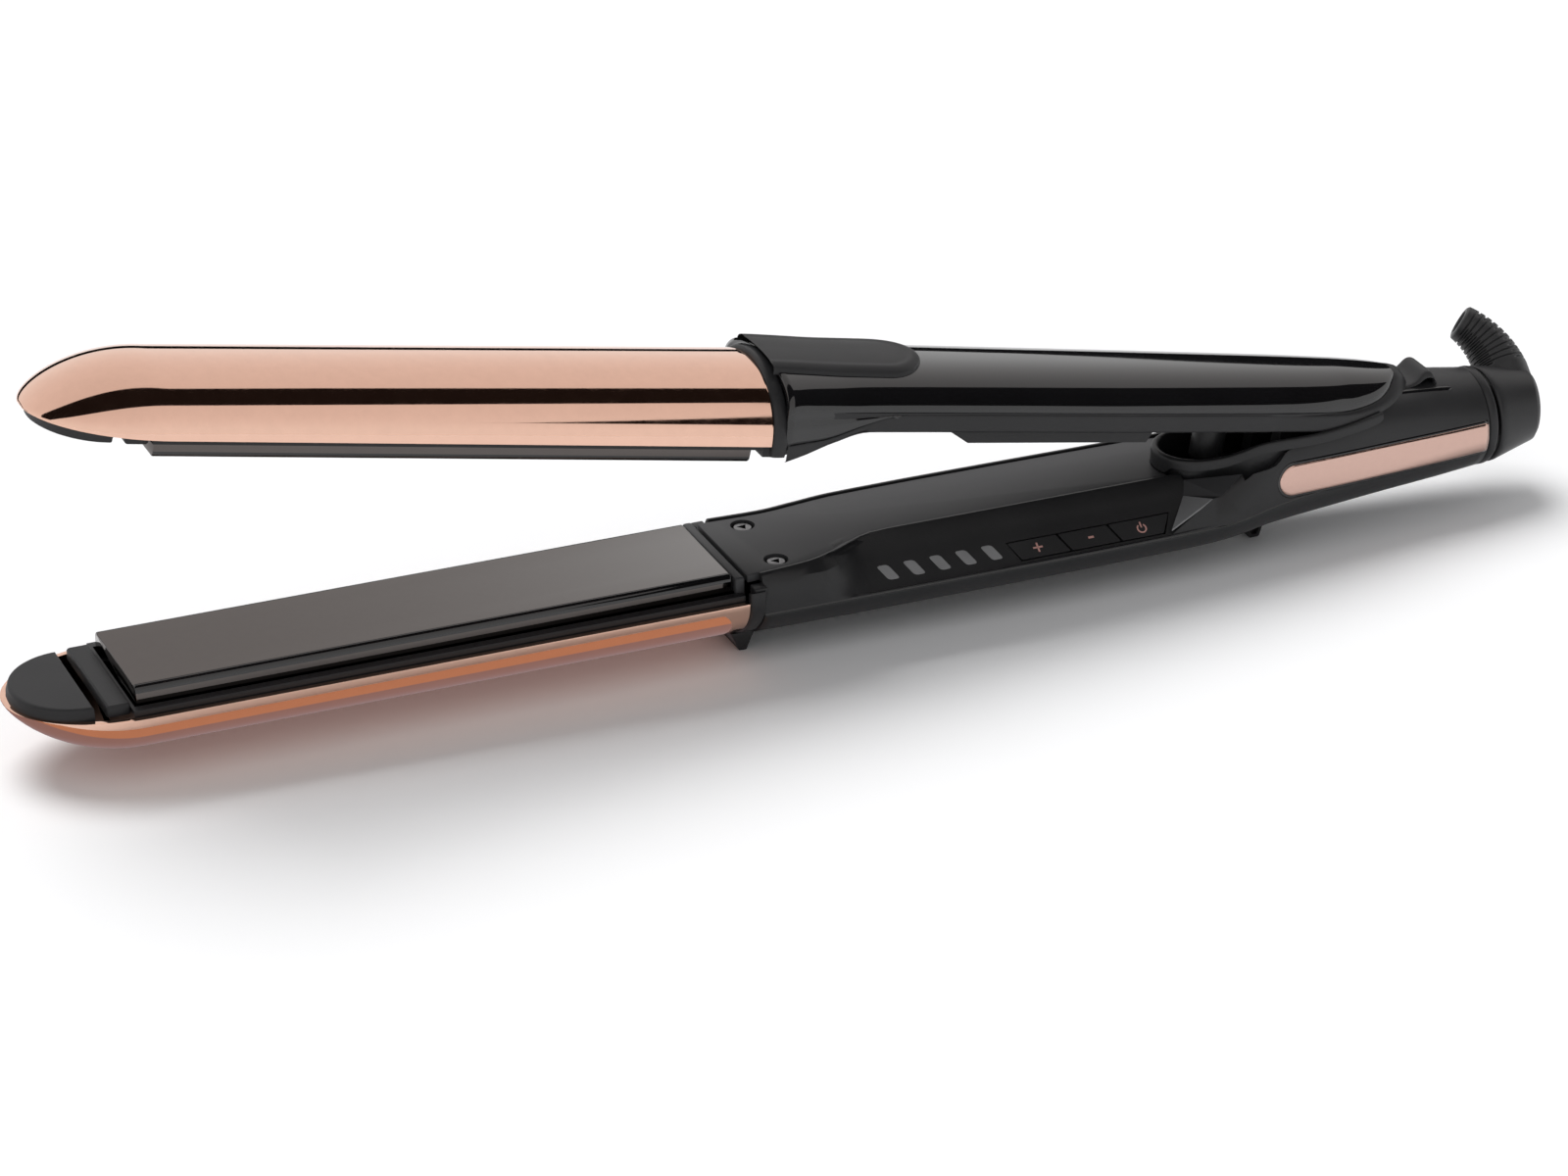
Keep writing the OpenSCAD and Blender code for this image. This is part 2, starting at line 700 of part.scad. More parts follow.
module upper_frame() {
    screw_top = 22.6;
    color(black) opened() difference() {
        union() {
            difference() {
                translate([0, 0, tray_z0]) linear_extrude(tray_z1 - tray_z0) polygon(border_plan(0));
                translate([0, 0, tray_z0 + 1.8]) linear_extrude(5) polygon(border_plan(1.5, 8.5));
            }
            // Wedge under the tray that runs forward into the barrel's end
            intersection() {
                translate([0, 0, close_z]) linear_extrude(tray_z0 + eps - close_z) polygon([
                    [joint_x + gap, -12.4], [1.5, -12.4], [6, -12], [22, -11],
                    [22, 11], [6, 12], [1.5, 12.4], [joint_x + gap, 12.4]]);
                along_y(-20, 20) polygon([
                    [joint_x, 18.8], [1.4, 18.8], [9, 21.4], [15, screw_top], [22, tray_z0 - 0.4],
                    [22, tray_z0 + eps], [joint_x, tray_z0 + eps]]);
            }
            // Bay under the tray
            along_y(-10, 10)
                polygon([[33, tray_z0 + eps], [39.5, 20.9], [76, 21.4], [77.5, tray_z0 + eps]]);
            mirrored_y() along_y(lug_y0, lug_y1) {
                translate([hinge_x, hinge_z]) circle(lug_r);
                translate([hinge_x - lug_r, hinge_z]) square([2 * lug_r, tray_z0 + 0.5 - hinge_z]);
            }
            // Keeper bar for the lock
            along_y(-4.2, 4.2) polygon([
                [129.5, 22.1], [133.4, 22.1], [133.4, tray_z0 + 0.2], [129.5, tray_z0 + 0.2]]);
        }
        box([126.5, -3.2, 24.1], [140, 3.2, 27.1]);
        translate([hinge_x, 12, hinge_z]) rotate([90, 0, 0]) cylinder(h = 24, r = bush_r + eps);
        mirrored_y() translate([frame_screw_x, screw_y, close_z]) cylinder(h = 14, r = 1.5);
        mirrored_y() translate([frame_screw_x, screw_y, close_z])
            cylinder(h = screw_top - close_z, r = 2.3);
        translate([post_x, 0, tray_z0 - 1]) cylinder(h = 6, r = 1.52);
    }
}

module upper_frame_screws() {
    color(steel) opened() mirrored_y() translate([frame_screw_x, screw_y, 21.9]) mirror([0, 0, 1])
        screw(2.1, 0.65, 5);
}

module hinge_bushes() {
    color("peru") opened() mirrored_y() translate([hinge_x, lug_y1 + 0.3, hinge_z]) rotate([90, 0, 0])
        difference() {
            cylinder(h = lug_y1 - lug_y0 + 0.6, r = bush_r);
            translate([0, 0, -1]) cylinder(h = 6, r = pin_r + 0.05);
        }
}

// Glossy shell of the upper handle, from the collar to the rounded tail
module upper_handle_shell() {
    b = crown_z - tray_z1;
    front_x = 7;
    function ring(x, a, bb) = arch(-x, a, bb, tray_z1 + 0.05, 14);
    function rings(t) = concat(
        [for (i = [1:8]) let (p = 90 * i / 8, s = sin(p))
            ring(tail_x0 + (tail_len - 0.4 - t) * cos(p), (tail_w - 0.3 - t) * s, (b - t) * pow(s, 0.45))],
        [for (x = [70, 40, 17, front_x]) ring(x, handle_half(x) - 0.3 - t, b - t)]
    );
    color(black) opened() mirror([1, 0, 0]) skin(rings(0), rings(1.3), true);
}

// Band between the barrel and the handle
module upper_collar() {
    z0 = close_z + rim_d - 0.5;
    proud = 0.35;
    function rings(t) = [
        arch(joint_x + gap, barrel_a + proud - t, upper_b_rear + 0.75 - t, z0),
        arch(1.2, barrel_a + proud - t, upper_b_rear + 0.9 - t, z0 + 0.1),
        arch(6.8, handle_w + 0.9 - t, crown_z + 0.9 - 23.6 - t, 23.6)
    ];
    color(black) opened() skin(rings(0), rings(1.5));
}

// Soft pad for the thumb
module thumb_grip() {
    w = 8.3;
    x0 = 7;
    x1 = 31.2;
    zc = tray_z1;
    color(black) opened() intersection() {
        along_x(x0, x1) polygon(concat(
            [for (i = [0:24]) [-15.2 * cos(180 * i / 24), zc + (crown_z - zc + 1.2) * sin(180 * i / 24)]],
            [for (i = [24:-1:0]) [-13.9 * cos(180 * i / 24), zc + (crown_z - zc + 0.1) * sin(180 * i / 24)]]
        ));
        translate([0, 0, zc]) linear_extrude(10) polygon(concat(
            [[x0, w], [x0, -w]],
            [for (i = [0:12]) [x1 - 8 + 8 * sin(180 * i / 12), -w * cos(180 * i / 12)]]
        ));
    }
}

module spring_post() {
    sleeve_top = 21.8;
    sleeve_bottom = 14.6;
    color(black) opened() translate([post_x, 0, 0]) difference() {
        union() {
            translate([0, 0, sleeve_bottom]) cylinder(h = sleeve_top - sleeve_bottom, r = 3.1);
            translate([0, 0, sleeve_top - eps]) cylinder(h = tray_z0 - sleeve_top, r = 2.05);
            translate([0, 0, tray_z0 - 0.1]) cylinder(h = 2, r = 1.5);
        }
        translate([0, 0, sleeve_bottom - 1]) cylinder(h = 7, r = 2.5);
    }
}

// ---------- lock ----------

module lock_slider() {
    deck_z = 26.5;
    crest = 1.9;
    color(black) {
        along_y(-4.2, 4.2) polygon(concat(
            [for (i = [0:6]) [nub_x + 1.4 - 1.4 * cos(15 * i), deck_z + crest * sin(15 * i)]],
            [[nub_x + 2.6, deck_z + crest], [nub_x + 5.6, deck_z + 0.5], [nub_x + 5.6, deck_z]]
        ));
        box([nub_x + 1, -2, tongue_z0], [nub_x + 4, 2, deck_z + eps]);
        box([tongue_x, -2, tongue_z0], [nub_x + 1 + eps, 2, tongue_z1]);
    }
}

lower_bottom_casing();
lower_top_casing();
inner_cover();
cover_screws();
status_windows();
control_board();
tact_switches();
lower_shell();
lower_carrier();
lower_collar();
lower_tip_pad();
lower_cushions();
side_inlays();
hinge_pin();
opening_spring();
rear_ring();
swivel_bearing();
swivel_brushes();
lower_plate();
lower_heater();
lower_heater_clip();
lower_thermal_fuse();
upper_shell();
upper_carrier();
upper_collar();
upper_tip_pad();
upper_handle_shell();
upper_frame();
upper_frame_screws();
thumb_grip();
spring_post();
hinge_bushes();
upper_cushions();
upper_plate();
upper_heater();
upper_heater_clip();
upper_thermal_fuse();
lock_slider();
swivel_cap();
swivel_spindle();
slip_rings();
strain_relief();
plus_button();
minus_button();
power_button();
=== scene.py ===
import bpy
import bmesh
import json
import math
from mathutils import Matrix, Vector


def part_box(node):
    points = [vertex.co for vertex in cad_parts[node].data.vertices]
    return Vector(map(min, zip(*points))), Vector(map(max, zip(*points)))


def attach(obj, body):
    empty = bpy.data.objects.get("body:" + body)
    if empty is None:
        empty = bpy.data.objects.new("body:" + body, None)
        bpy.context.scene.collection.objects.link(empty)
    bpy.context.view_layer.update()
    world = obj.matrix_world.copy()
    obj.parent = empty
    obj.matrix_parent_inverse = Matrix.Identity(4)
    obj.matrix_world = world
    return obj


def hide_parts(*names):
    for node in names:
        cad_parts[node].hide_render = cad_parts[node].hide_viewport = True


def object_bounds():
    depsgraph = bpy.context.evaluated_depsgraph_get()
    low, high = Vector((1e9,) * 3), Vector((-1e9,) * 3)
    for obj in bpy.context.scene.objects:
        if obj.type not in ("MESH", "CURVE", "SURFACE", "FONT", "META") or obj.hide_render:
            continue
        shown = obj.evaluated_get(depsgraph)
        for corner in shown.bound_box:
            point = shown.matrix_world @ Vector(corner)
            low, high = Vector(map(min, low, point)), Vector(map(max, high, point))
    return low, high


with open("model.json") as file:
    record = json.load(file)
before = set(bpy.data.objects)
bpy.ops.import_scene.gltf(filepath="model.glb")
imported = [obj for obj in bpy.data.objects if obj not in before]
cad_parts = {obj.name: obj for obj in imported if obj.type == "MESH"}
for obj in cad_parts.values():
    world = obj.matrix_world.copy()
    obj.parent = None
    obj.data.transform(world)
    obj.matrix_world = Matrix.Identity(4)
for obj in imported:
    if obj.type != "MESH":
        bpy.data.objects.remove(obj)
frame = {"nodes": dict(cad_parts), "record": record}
cad_low, cad_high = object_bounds()
record = frame["record"]
slot_of = {p["node"]: p["material_slot"] for p in record["subparts"]}
body_of_node = {n: b for b, nodes in record["behaviour"]["bodies"].items() for n in nodes}
joints = {j["name"]: j for j in record["behaviour"]["joints"]}

MM = 0.001
HX, HZ = joints["arm_hinge"]["pos_m"][0] / MM, joints["arm_hinge"]["pos_m"][2] / MM
LIFT = joints["upper_plate_float"]["axis"]
OPEN = math.atan2(LIFT[0], LIFT[2])
plate_lo, plate_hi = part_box("lower_plate")
CLOSE = plate_hi[2] / MM
PX0, PX1 = plate_lo[0] / MM, plate_hi[0] / MM


# ---------- materials ----------
class Tree:
    """Short hand for building a node tree."""

    def __init__(self, name):
        self.mat = bpy.data.materials.new(name)
        self.mat.use_nodes = True
        self.nodes = self.mat.node_tree.nodes
        self.links = self.mat.node_tree.links
        self.nodes.clear()
        self.out = self.nodes.new("ShaderNodeOutputMaterial")
        self.bsdf = self.nodes.new("ShaderNodeBsdfPrincipled")
        self.links.new(self.bsdf.outputs[0], self.out.inputs[0])
        self.coord = self.nodes.new("ShaderNodeTexCoord").outputs["Object"]

    def noise(self, scale, detail=3.0, rough=0.55, stretch=None):
        vec = self.coord
        if stretch:
            m = self.nodes.new("ShaderNodeMapping")
            m.inputs["Scale"].default_value = stretch
            self.links.new(vec, m.inputs[0])
            vec = m.outputs[0]
        n = self.nodes.new("ShaderNodeTexNoise")
        n.inputs["Scale"].default_value = scale
        n.inputs["Detail"].default_value = detail
        n.inputs["Roughness"].default_value = rough
        self.links.new(vec, n.inputs["Vector"])
        return n.outputs["Fac"]

    def ramp(self, value, stops):
        r = self.nodes.new("ShaderNodeValToRGB")
        e = r.color_ramp.elements
        while len(e) < len(stops):
            e.new(0.5)
        for k, (at, c) in enumerate(stops):
            e[k].position = at
            e[k].color = (c, c, c, 1) if isinstance(c, float) else (*c, 1)
        self.links.new(value, r.inputs[0])
        return r.outputs[0]

    def bump(self, value, strength, distance):
        b = self.nodes.new("ShaderNodeBump")
        b.inputs["Strength"].default_value = strength
        b.inputs["Distance"].default_value = distance
        self.links.new(value, b.inputs["Height"])
        self.links.new(b.outputs[0], self.bsdf.inputs["Normal"])

    def set(self, **kw):
        for k, v in kw.items():
            s = self.bsdf.inputs[k.replace("_", " ")]
            if isinstance(v, bpy.types.NodeSocket):
                self.links.new(v, s)
            else:
                s.default_value = (*v, 1) if isinstance(v, tuple) and len(v) == 3 else v
        return self.mat


def shade(c, k):
    return tuple(v * k for v in c)


def metal(name, c, rough, grain=900.0, vary=0.5, stretch=None, bump=0.0):
    t = Tree(name)
    n = t.noise(grain, 4.0, 0.6, stretch)
    if bump:
        t.bump(n, bump, 0.00005)
    return t.set(Base_Color=t.ramp(n, [(0.3, shade(c, 0.96)), (0.7, c)]), Metallic=1.0,
                 Roughness=t.ramp(n, [(0.3, rough * (1 - vary)), (0.7, rough * (1 + vary))]))


def plastic(name, c, rough, grain=3200.0, bump=0.25, spec=0.5, coat=0.0, depth=0.00006, spread=0.12):
    t = Tree(name)
    fine = t.noise(grain, 2.0, 0.6)
    broad = t.noise(60.0, 3.0, 0.5)
    if bump:
        t.bump(fine, bump, depth)
    t.set(Specular_IOR_Level=spec, Coat_Weight=coat, Coat_Roughness=0.04)
    return t.set(Base_Color=t.ramp(broad, [(0.35, shade(c, 1 - spread)), (0.65, shade(c, 1 + spread))]),
                 Roughness=t.ramp(broad, [(0.3, rough * 0.92), (0.7, rough * 1.08)]))


MATS = {
    "rose_gold": metal("rose_gold", (0.80, 0.515, 0.40), 0.055, 400.0, 0.35),
    "gloss_black": plastic("gloss_black", (0.004, 0.004, 0.0045), 0.06, 900.0, 0.02, 0.5, 0.35),
    "matte_black": plastic("matte_black", (0.017, 0.017, 0.018), 0.40, 2600.0, 0.35, 0.32),
    "soft_black": plastic("soft_black", (0.019, 0.019, 0.020), 0.5, 3600.0, 0.3, 0.3),
    # The two facet greys below are lighter than the casing: painted highlight and painted light on the casing
    # facets.
    "facet_painted_highlight": plastic("facet_painted_highlight", (0.21, 0.21, 0.213), 0.5, 2600.0, 0.3, 0.3),
    "facet_painted_light": plastic("facet_painted_light", (0.046, 0.046, 0.048), 0.5, 2600.0, 0.3, 0.3),
    # Inlay metal: a satin finish. Its base, darker than the gold, is partly painted reflection of the shaded
    # floor.
    "inlay_metal": metal("inlay_metal", (0.60, 0.405, 0.345), 0.16, 900.0, 0.3),
    "cover_grey": plastic("cover_grey", (0.044, 0.044, 0.046), 0.5, 4200.0, 0.12, 0.3),
    "plate": metal("plate", (0.110, 0.098, 0.093), 0.07, 700.0, 0.3),
    "key_black": plastic("key_black", (0.021, 0.021, 0.022), 0.38, 3200.0, 0.2, 0.3),
    "window": plastic("window", (0.23, 0.23, 0.233), 0.5, 2600.0, 0.15, 0.4),
    "carrier_black": plastic("carrier_black", (0.010, 0.010, 0.011), 0.4, 2200.0, 0.3, 0.35),
    "steel": metal("steel", (0.32, 0.32, 0.33), 0.30, 1500.0, 0.3),
    "spring_steel": metal("spring_steel", (0.42, 0.42, 0.44), 0.24, 1500.0, 0.3),
    "bronze": metal("bronze", (0.55, 0.35, 0.16), 0.4, 2500.0, 0.3, bump=0.3),
    "copper": metal("copper", (0.70, 0.38, 0.22), 0.25, 900.0, 0.3),
    "heater_ceramic": plastic("heater_ceramic", (0.78, 0.76, 0.70), 0.6, 1500.0, 0.3, 0.3),
    "silicone": plastic("silicone", (0.45, 0.10, 0.08), 0.5, 1500.0, 0.2, 0.4),
    "board": plastic("board", (0.01, 0.11, 0.05), 0.4, 1800.0, 0.1, 0.5),
    "relief_black": plastic("relief_black", (0.030, 0.030, 0.031), 0.45, 2600.0, 0.3, 0.3),
}

for name, node in frame["nodes"].items():
    node.data.materials.clear()
    node.data.materials.append(MATS[slot_of[name]])
    node.data.shade_smooth()
    node.data.set_sharp_from_angle(angle=math.radians(32))


# ---------- building ----------
def turned(p):
    """A point drawn with the arms shut, turned with the upper arm to its open place. In mm."""
    x, z = p[0] - HX, p[2] - HZ
    return (HX + x * math.cos(OPEN) + z * math.sin(OPEN), p[1], HZ - x * math.sin(OPEN) + z * math.cos(OPEN))


def arm_up(p):
    """Arm-local (z away from the closing plane) to the upper arm's open place."""
    return turned((p[0], p[1], CLOSE + p[2]))


def arm_low(p):
    return (p[0], p[1], CLOSE - p[2])


def mesh_piece(name, verts, faces, nodes, body=None, slot=None, move=None, bevel=0.0, segs=2, sub=0,
               thick=0.0, angle=35.0, flat=False):
    me = bpy.data.meshes.new(name)
    pts = [move(v) if move else v for v in verts]
    me.from_pydata([(p[0] * MM, p[1] * MM, p[2] * MM) for p in pts], [], faces)
    bm = bmesh.new()
    bm.from_mesh(me)
    bmesh.ops.remove_doubles(bm, verts=bm.verts, dist=1e-6)
    bmesh.ops.recalc_face_normals(bm, faces=bm.faces)
    bm.to_mesh(me)
    bm.free()
    o = bpy.data.objects.new(name, me)
    bpy.context.scene.collection.objects.link(o)
    for f in me.polygons:
        f.use_smooth = not flat
    if thick:
        m = o.modifiers.new("thick", "SOLIDIFY")
        m.thickness, m.offset = thick * MM, -1
    if bevel:
        m = o.modifiers.new("bevel", "BEVEL")
        m.width, m.segments, m.limit_method, m.angle_limit = bevel * MM, segs, "ANGLE", math.radians(angle)
        m.harden_normals = False
    if sub:
        m = o.modifiers.new("sub", "SUBSURF")
        m.levels = m.render_levels = sub
    s = slot or slot_of[nodes[0]]
    me.materials.append(MATS[s])
    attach(o, body or body_of_node[nodes[0]])
    if nodes:
        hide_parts(*nodes)
    return o


def grid(rows, closed=False):
    """Faces of a grid of points; closed joins the last column to the first."""
    n = len(rows[0])
    verts = [p for r in rows for p in r]
    faces = []
    for u in range(len(rows) - 1):
        for v in range(n if closed else n - 1):
            w = (v + 1) % n
            faces.append((u * n + v, u * n + w, (u + 1) * n + w, (u + 1) * n + v))
    return verts, faces


def side_quads(k):
    """Side faces between a ring of k points and the ring of k points above it."""
    return [(i, (i + 1) % k, k + (i + 1) % k, k + i) for i in range(k)]


def smooth(st, x):
    """Value at x on a smooth curve through stations (monotone cubic)."""
    n = len(st)
    if x <= st[0][0]:
        return st[0][1]
    if x >= st[-1][0]:
        return st[-1][1]
    d = [(st[i + 1][1] - st[i][1]) / (st[i + 1][0] - st[i][0]) for i in range(n - 1)]
    m = [d[0]] + [0.0 if d[i - 1] * d[i] <= 0 else 2 * d[i - 1] * d[i] / (d[i - 1] + d[i])
                  for i in range(1, n - 1)] + [d[-1]]
    for i in range(n - 1):
        if x <= st[i + 1][0]:
            h = st[i + 1][0] - st[i][0]
            t = (x - st[i][0]) / h
            return ((2 * t**3 - 3 * t**2 + 1) * st[i][1] + (t**3 - 2 * t**2 + t) * h * m[i]
                    + (-2 * t**3 + 3 * t**2) * st[i + 1][1] + (t**3 - t**2) * h * m[i + 1])


# ---------- barrels ----------
def barrel(name, move, b0, b1, node):
    a, rim, nx, length, n = 15.5, 4.55, -112.2, 22.0, 72
    rows = []
    for i in range(0, 41):
        s = math.sin(math.radians(6 + 84 * (i / 40) ** 0.9))
        c = math.cos(math.radians(6 + 84 * (i / 40) ** 0.9))
        rows.append([(nx - length * c, -a * s * math.cos(math.pi * v / n),
                      rim + b0 * s ** 1.6 * math.sin(math.pi * v / n)) for v in range(n + 1)])
    for t in [i / 24 for i in range(1, 24)] + [0.985, 0.995, 0.9985, 1.0]:
        x = nx + (-2.0 - nx) * t
        b = b0 + (b1 - b0) * t
        rows.append([(x, -a * math.cos(math.pi * v / n), rim + b * math.sin(math.pi * v / n))
                     for v in range(n + 1)])
    verts, faces = grid(rows)
    faces.append(tuple(range(n, -1, -1)))
    return mesh_piece(name, verts, faces, [node], move=move, thick=1.1, bevel=0.18, segs=3, angle=60)


barrel("gold_lower", arm_low, 10.2, 10.2, "lower_shell")
barrel("gold_upper", arm_up, 9.6, 11.2, "upper_shell")


# ---------- upper handle, drawn with the arms shut ----------
HALF = [(0.9, 15.3), (6, 14.5), (12, 13.9), (17, 13.6), (40, 13.0), (70, 12.4), (100, 11.4)]
SEAM = [(0.9, 22.0), (8.5, 22.9), (17, 25.8), (22, 27.3), (24, 27.55), (40, 27.6), (134, 27.7)]
CROWN = [(0.9, 34.0), (6, 33.9), (14, 33.7), (118, 33.7), (134, 33.3)]
TAIL_X = 100.0
# Round the tail: the shell's seam (x, half width, height) and the border's outer edge (x, half width, height)
TAIL_IN = [(100, 11.15, 27.4), (108, 10.75, 27.4), (113, 10.3, 27.45), (117, 9.7, 27.6), (121, 8.95, 28.2),
           (124.5, 7.9, 29.1), (127.4, 6.3, 30.3), (129.4, 4.2, 31.7), (130.4, 2.2, 32.9),
           (130.7, 0.0, 33.45)]
TAIL_OUT = [(100, 11.52, 26.6), (108, 11.3, 26.6), (113, 11.0, 26.7), (117.3, 10.55, 26.9),
            (122, 9.8, 27.3), (126.4, 8.6, 27.9), (130.2, 6.7, 28.6), (132.8, 4.4, 29.3),
            (134.0, 2.2, 29.7), (134.3, 0.0, 29.8)]
UNDER = [(1.2, 18.9), (5, 20.0), (10, 22.0), (15.5, 23.9), (18, 24.1), (134, 24.1)]
FLANK = 6


def tail_point(table, u):
    """Point of a tail table at u from 0 to 9."""
    return tuple(smooth([(k, p[j]) for k, p in enumerate(table)], u) for j in range(3))


def section(x, w, z0, crown, n=64):
    """Cross-section of the glossy shell over the crown, with upright flanks down to its seam."""
    low = min(z0, smooth(SEAM, x)) if x < TAIL_X else z0
    out = w + 0.5 * max(0.0, min(1.0, (26 - x) / 3))
    flank = [(out if k < FLANK - 1 else w, low + (z0 - low) * k / FLANK) for k in range(FLANK)]
    row = [(x, -y, z) for y, z in flank]
    for v in range(n + 1):
        c, k = math.cos(math.pi * v / n), math.sin(math.pi * v / n)
        row.append((x, -w * math.copysign(abs(c) ** 0.86, c), z0 + (crown - z0) * max(0.0, k) ** 0.94))
    return row + [(x, y, z) for y, z in reversed(flank)]


def handle_z(x, y):
    """Height of the glossy shell at x, y, ahead of the tail."""
    w, z0 = smooth(HALF, x) - 0.25, 27.4
    c = min(1.0, abs(y) / w) ** (1 / 0.86)
    return z0 + (smooth(CROWN, x) - z0) * math.sqrt(max(0.0, 1 - c * c)) ** 0.94


xs = [0.6 + 29.4 * i / 24 for i in range(25)] + [30 + 70 * i / 20 for i in range(1, 20)]
rows = [section(x, smooth(HALF, x) - 0.25, 27.4, smooth(CROWN, x)) for x in xs]
for i in range(73):
    x, w, z0 = tail_point(TAIL_IN, 9 * i / 72)
    rows.append(section(x, w, z0, max(z0, smooth(CROWN, x))))
verts, faces = grid(rows)
mesh_piece("glossy_handle", verts, faces, ["upper_handle_shell"], move=turned, thick=1.2)

# Matte border: rises from the collar along the shell's seam and climbs round the end of the tail
stations = []
for i in range(49):
    x = 1.2 + 98.8 * i / 48
    seam = min(27.4, smooth(SEAM, x))
    w = smooth(HALF, x)
    stations.append(((x, w + 0.25, seam - 0.75), (x, w - 0.1, seam)))
stations += [(tail_point(TAIL_OUT, 9 * i / 60), tail_point(TAIL_IN, 9 * i / 60)) for i in range(1, 61)]


def border_row(out, seam, sign):
    (ox, oy, oz), (sx, sy, sz) = out, seam
    foot = min(oz - 0.5, smooth(UNDER, ox))
    dx = (ox - 122) / 12 if ox > 122 else 0.0
    row = [(ox - 0.5 * dx, oy - 0.5 * (1 - dx), foot), (ox - 0.12 * dx, oy - 0.12 * (1 - dx), foot + 0.15),
           (ox, oy, foot + 0.5), (ox, oy, (foot + oz) / 2), (ox, oy, oz)]
    for k in range(1, 7):
        a = math.pi / 2 * k / 6
        row.append((sx + (ox - sx) * math.cos(a), sy + (oy - sy) * math.cos(a),
                    oz + (sz + 0.22 - oz) * math.sin(a)))
    row += [(sx - 0.35 * dx, max(0.0, sy - 0.35 * (1 - dx)), sz + 0.1),
            (sx - 0.4 * dx, max(0.0, sy - 0.4 * (1 - dx)), sz - 0.9)]
    return [(x, sign * y, z) for x, y, z in row]


rows = [border_row(o, q, -1) for o, q in stations] + [border_row(o, q, 1) for o, q in reversed(stations[:-1])]
verts, faces = grid(rows)
mesh_piece("handle_border", verts, faces, [], body="upper_arm", slot="matte_black", move=turned)

# Thumb grip: a D-shaped pad that stands proud of the shell
rows, g0, g1, gw = [], -0.6, 31.2, 8.3
LIFT_AT = [(0, -0.4), (0.12, 0.45), (0.55, 0.85), (1.7, 1.12), (2.1, 1.06), (2.8, 0.92), (9, 0.86)]
for i in range(57):
    x = g0 + (22.9 - g0) * i / 24 if i <= 24 else 22.9 + (g1 - 22.9) * math.sin(math.pi / 2 * (i - 24) / 32)
    s = max(0.0, (x - 22.9) / (g1 - 22.9))
    g = gw * math.sqrt(max(0.0, 1 - s * s))
    row = []
    for v in range(49):
        y = g * math.sin(math.pi / 2 * (v / 24 - 1))
        if s > 0:
            edge = gw - math.hypot((x - 22.9), y)
        else:
            edge = gw - abs(y)
        row.append((x, y, handle_z(max(1.0, x), y) + smooth(LIFT_AT, edge)))
    rows.append(row)
verts, faces = grid(rows)
mesh_piece("grip_pad", verts, faces, ["thumb_grip"], move=turned)

# Collar: a band with rolled edges, thicker over the crown
n = 64
rows = []
for x, o in [(-1.9, -0.9), (-1.9, 0.0), (-1.7, 0.3), (-1.2, 0.42), (0.2, 0.42), (0.8, 0.3), (1.05, 0.0),
             (1.1, -0.8)]:
    row = []
    for v in range(n + 1):
        t = math.pi * v / n
        crown = 11.3 + o + 0.85 * math.sin(t) ** 6
        row.append((x, -(15.45 + o) * math.cos(t), 21.6 + crown * math.sin(t)))
    rows.append([(x, row[0][1] * 0.985, 20.0)] + row + [(x, row[-1][1] * 0.985, 20.0)])
verts, faces = grid(rows)
mesh_piece("collar_upper", verts, faces, ["upper_collar"], move=turned, sub=1)


# ---------- lower handle ----------
W_LOW = [(0, 14.4), (20, 14.6), (60, 14.8), (88, 14.3), (101, 13.2), (106, 12.7), (118, 11.9), (129, 11.1),
         (143, 10.2), (152, 9.4)]
Z_LOW = [(0, 2.4), (20, 2.2), (88, 2.3), (96, 2.5), (106, 3.6), (129, 5.0), (143, 5.7), (152, 6.3)]
Z_SPLIT = [(0, 9.6), (94, 9.6), (106, 11.2), (129, 13.4), (143, 14.8), (152, 15.7)]
Z_TOP = [(0, 16.8), (86, 16.8), (96, 20.0), (106, 25.0), (129, 26.2), (143, 26.0), (152, 25.1)]
SQUARE = [(88, 1.0), (98, 0.8), (106, 0.5), (122, 0.5), (152, 1.0)]
CUT = [(88, 15.5), (92, 16.6), (98.5, 17.8), (104.2, 18.9), (107.2, 21.2), (111, 23.0), (116, 23.6),
       (122, 24.1), (130, 24.9), (136, 26.4), (138, 27.5)]
X0, X1 = 1.3, 151.7
NEAR = [(0, -12.3), (11, -11.0), (18, -8.3), (24, -5.2), (28, -4.2), (90, -4.2)]
FAR = [(0, 12.0), (11, 11.6), (18, 12.4), (26, 13.4), (43, 13.7), (88, 13.4), (92, 12.9)]
panel_deg = math.atan2(16.8 - 9.6, 14 - 4.2)


def nest(x):
    return 11.8 * math.sqrt(max(0.0, 1 - ((x - 100) / 38) ** 2)) if x > 100 else 11.8


def upper_section(x, t):
    """Point on the rear casing at x, t from 0 at the seam to 90 degrees on top; y is positive."""
    e, w, z0, z1 = smooth(SQUARE, x), smooth(W_LOW, x), smooth(Z_SPLIT, x), smooth(Z_TOP, x)
    return (x, w * max(0.0, math.cos(t)) ** e, z0 + (z1 - z0) * max(0.0, math.sin(t)) ** e)


n = 48
rows = []
for i in range(97):
    x = X0 + (X1 - X0) * i / 96
    w, zs, zl = smooth(W_LOW, x), smooth(Z_SPLIT, x), smooth(Z_LOW, x)
    rows.append([(x, -w * math.cos(math.pi * v / n), zs - (zs - zl) * math.sin(math.pi * v / n))
                 for v in range(n + 1)])
verts, faces = grid(rows)
mesh_piece("handle_bottom", verts, faces, ["lower_bottom_casing"], thick=1.5)
foot_prof = [(103.6, 4.6), (104.9, 0.25), (105.2, 0.02), (106.8, 0.02), (107.1, 0.25), (108.4, 4.6)]
verts, faces = grid([[(x, y, z) for y in (-2.5, -1.2, 0.0, 1.2, 2.5)] for x, z in foot_prof])
mesh_piece("rear_foot", verts, faces, [], body="base", slot="matte_black", thick=0.6, bevel=0.15)


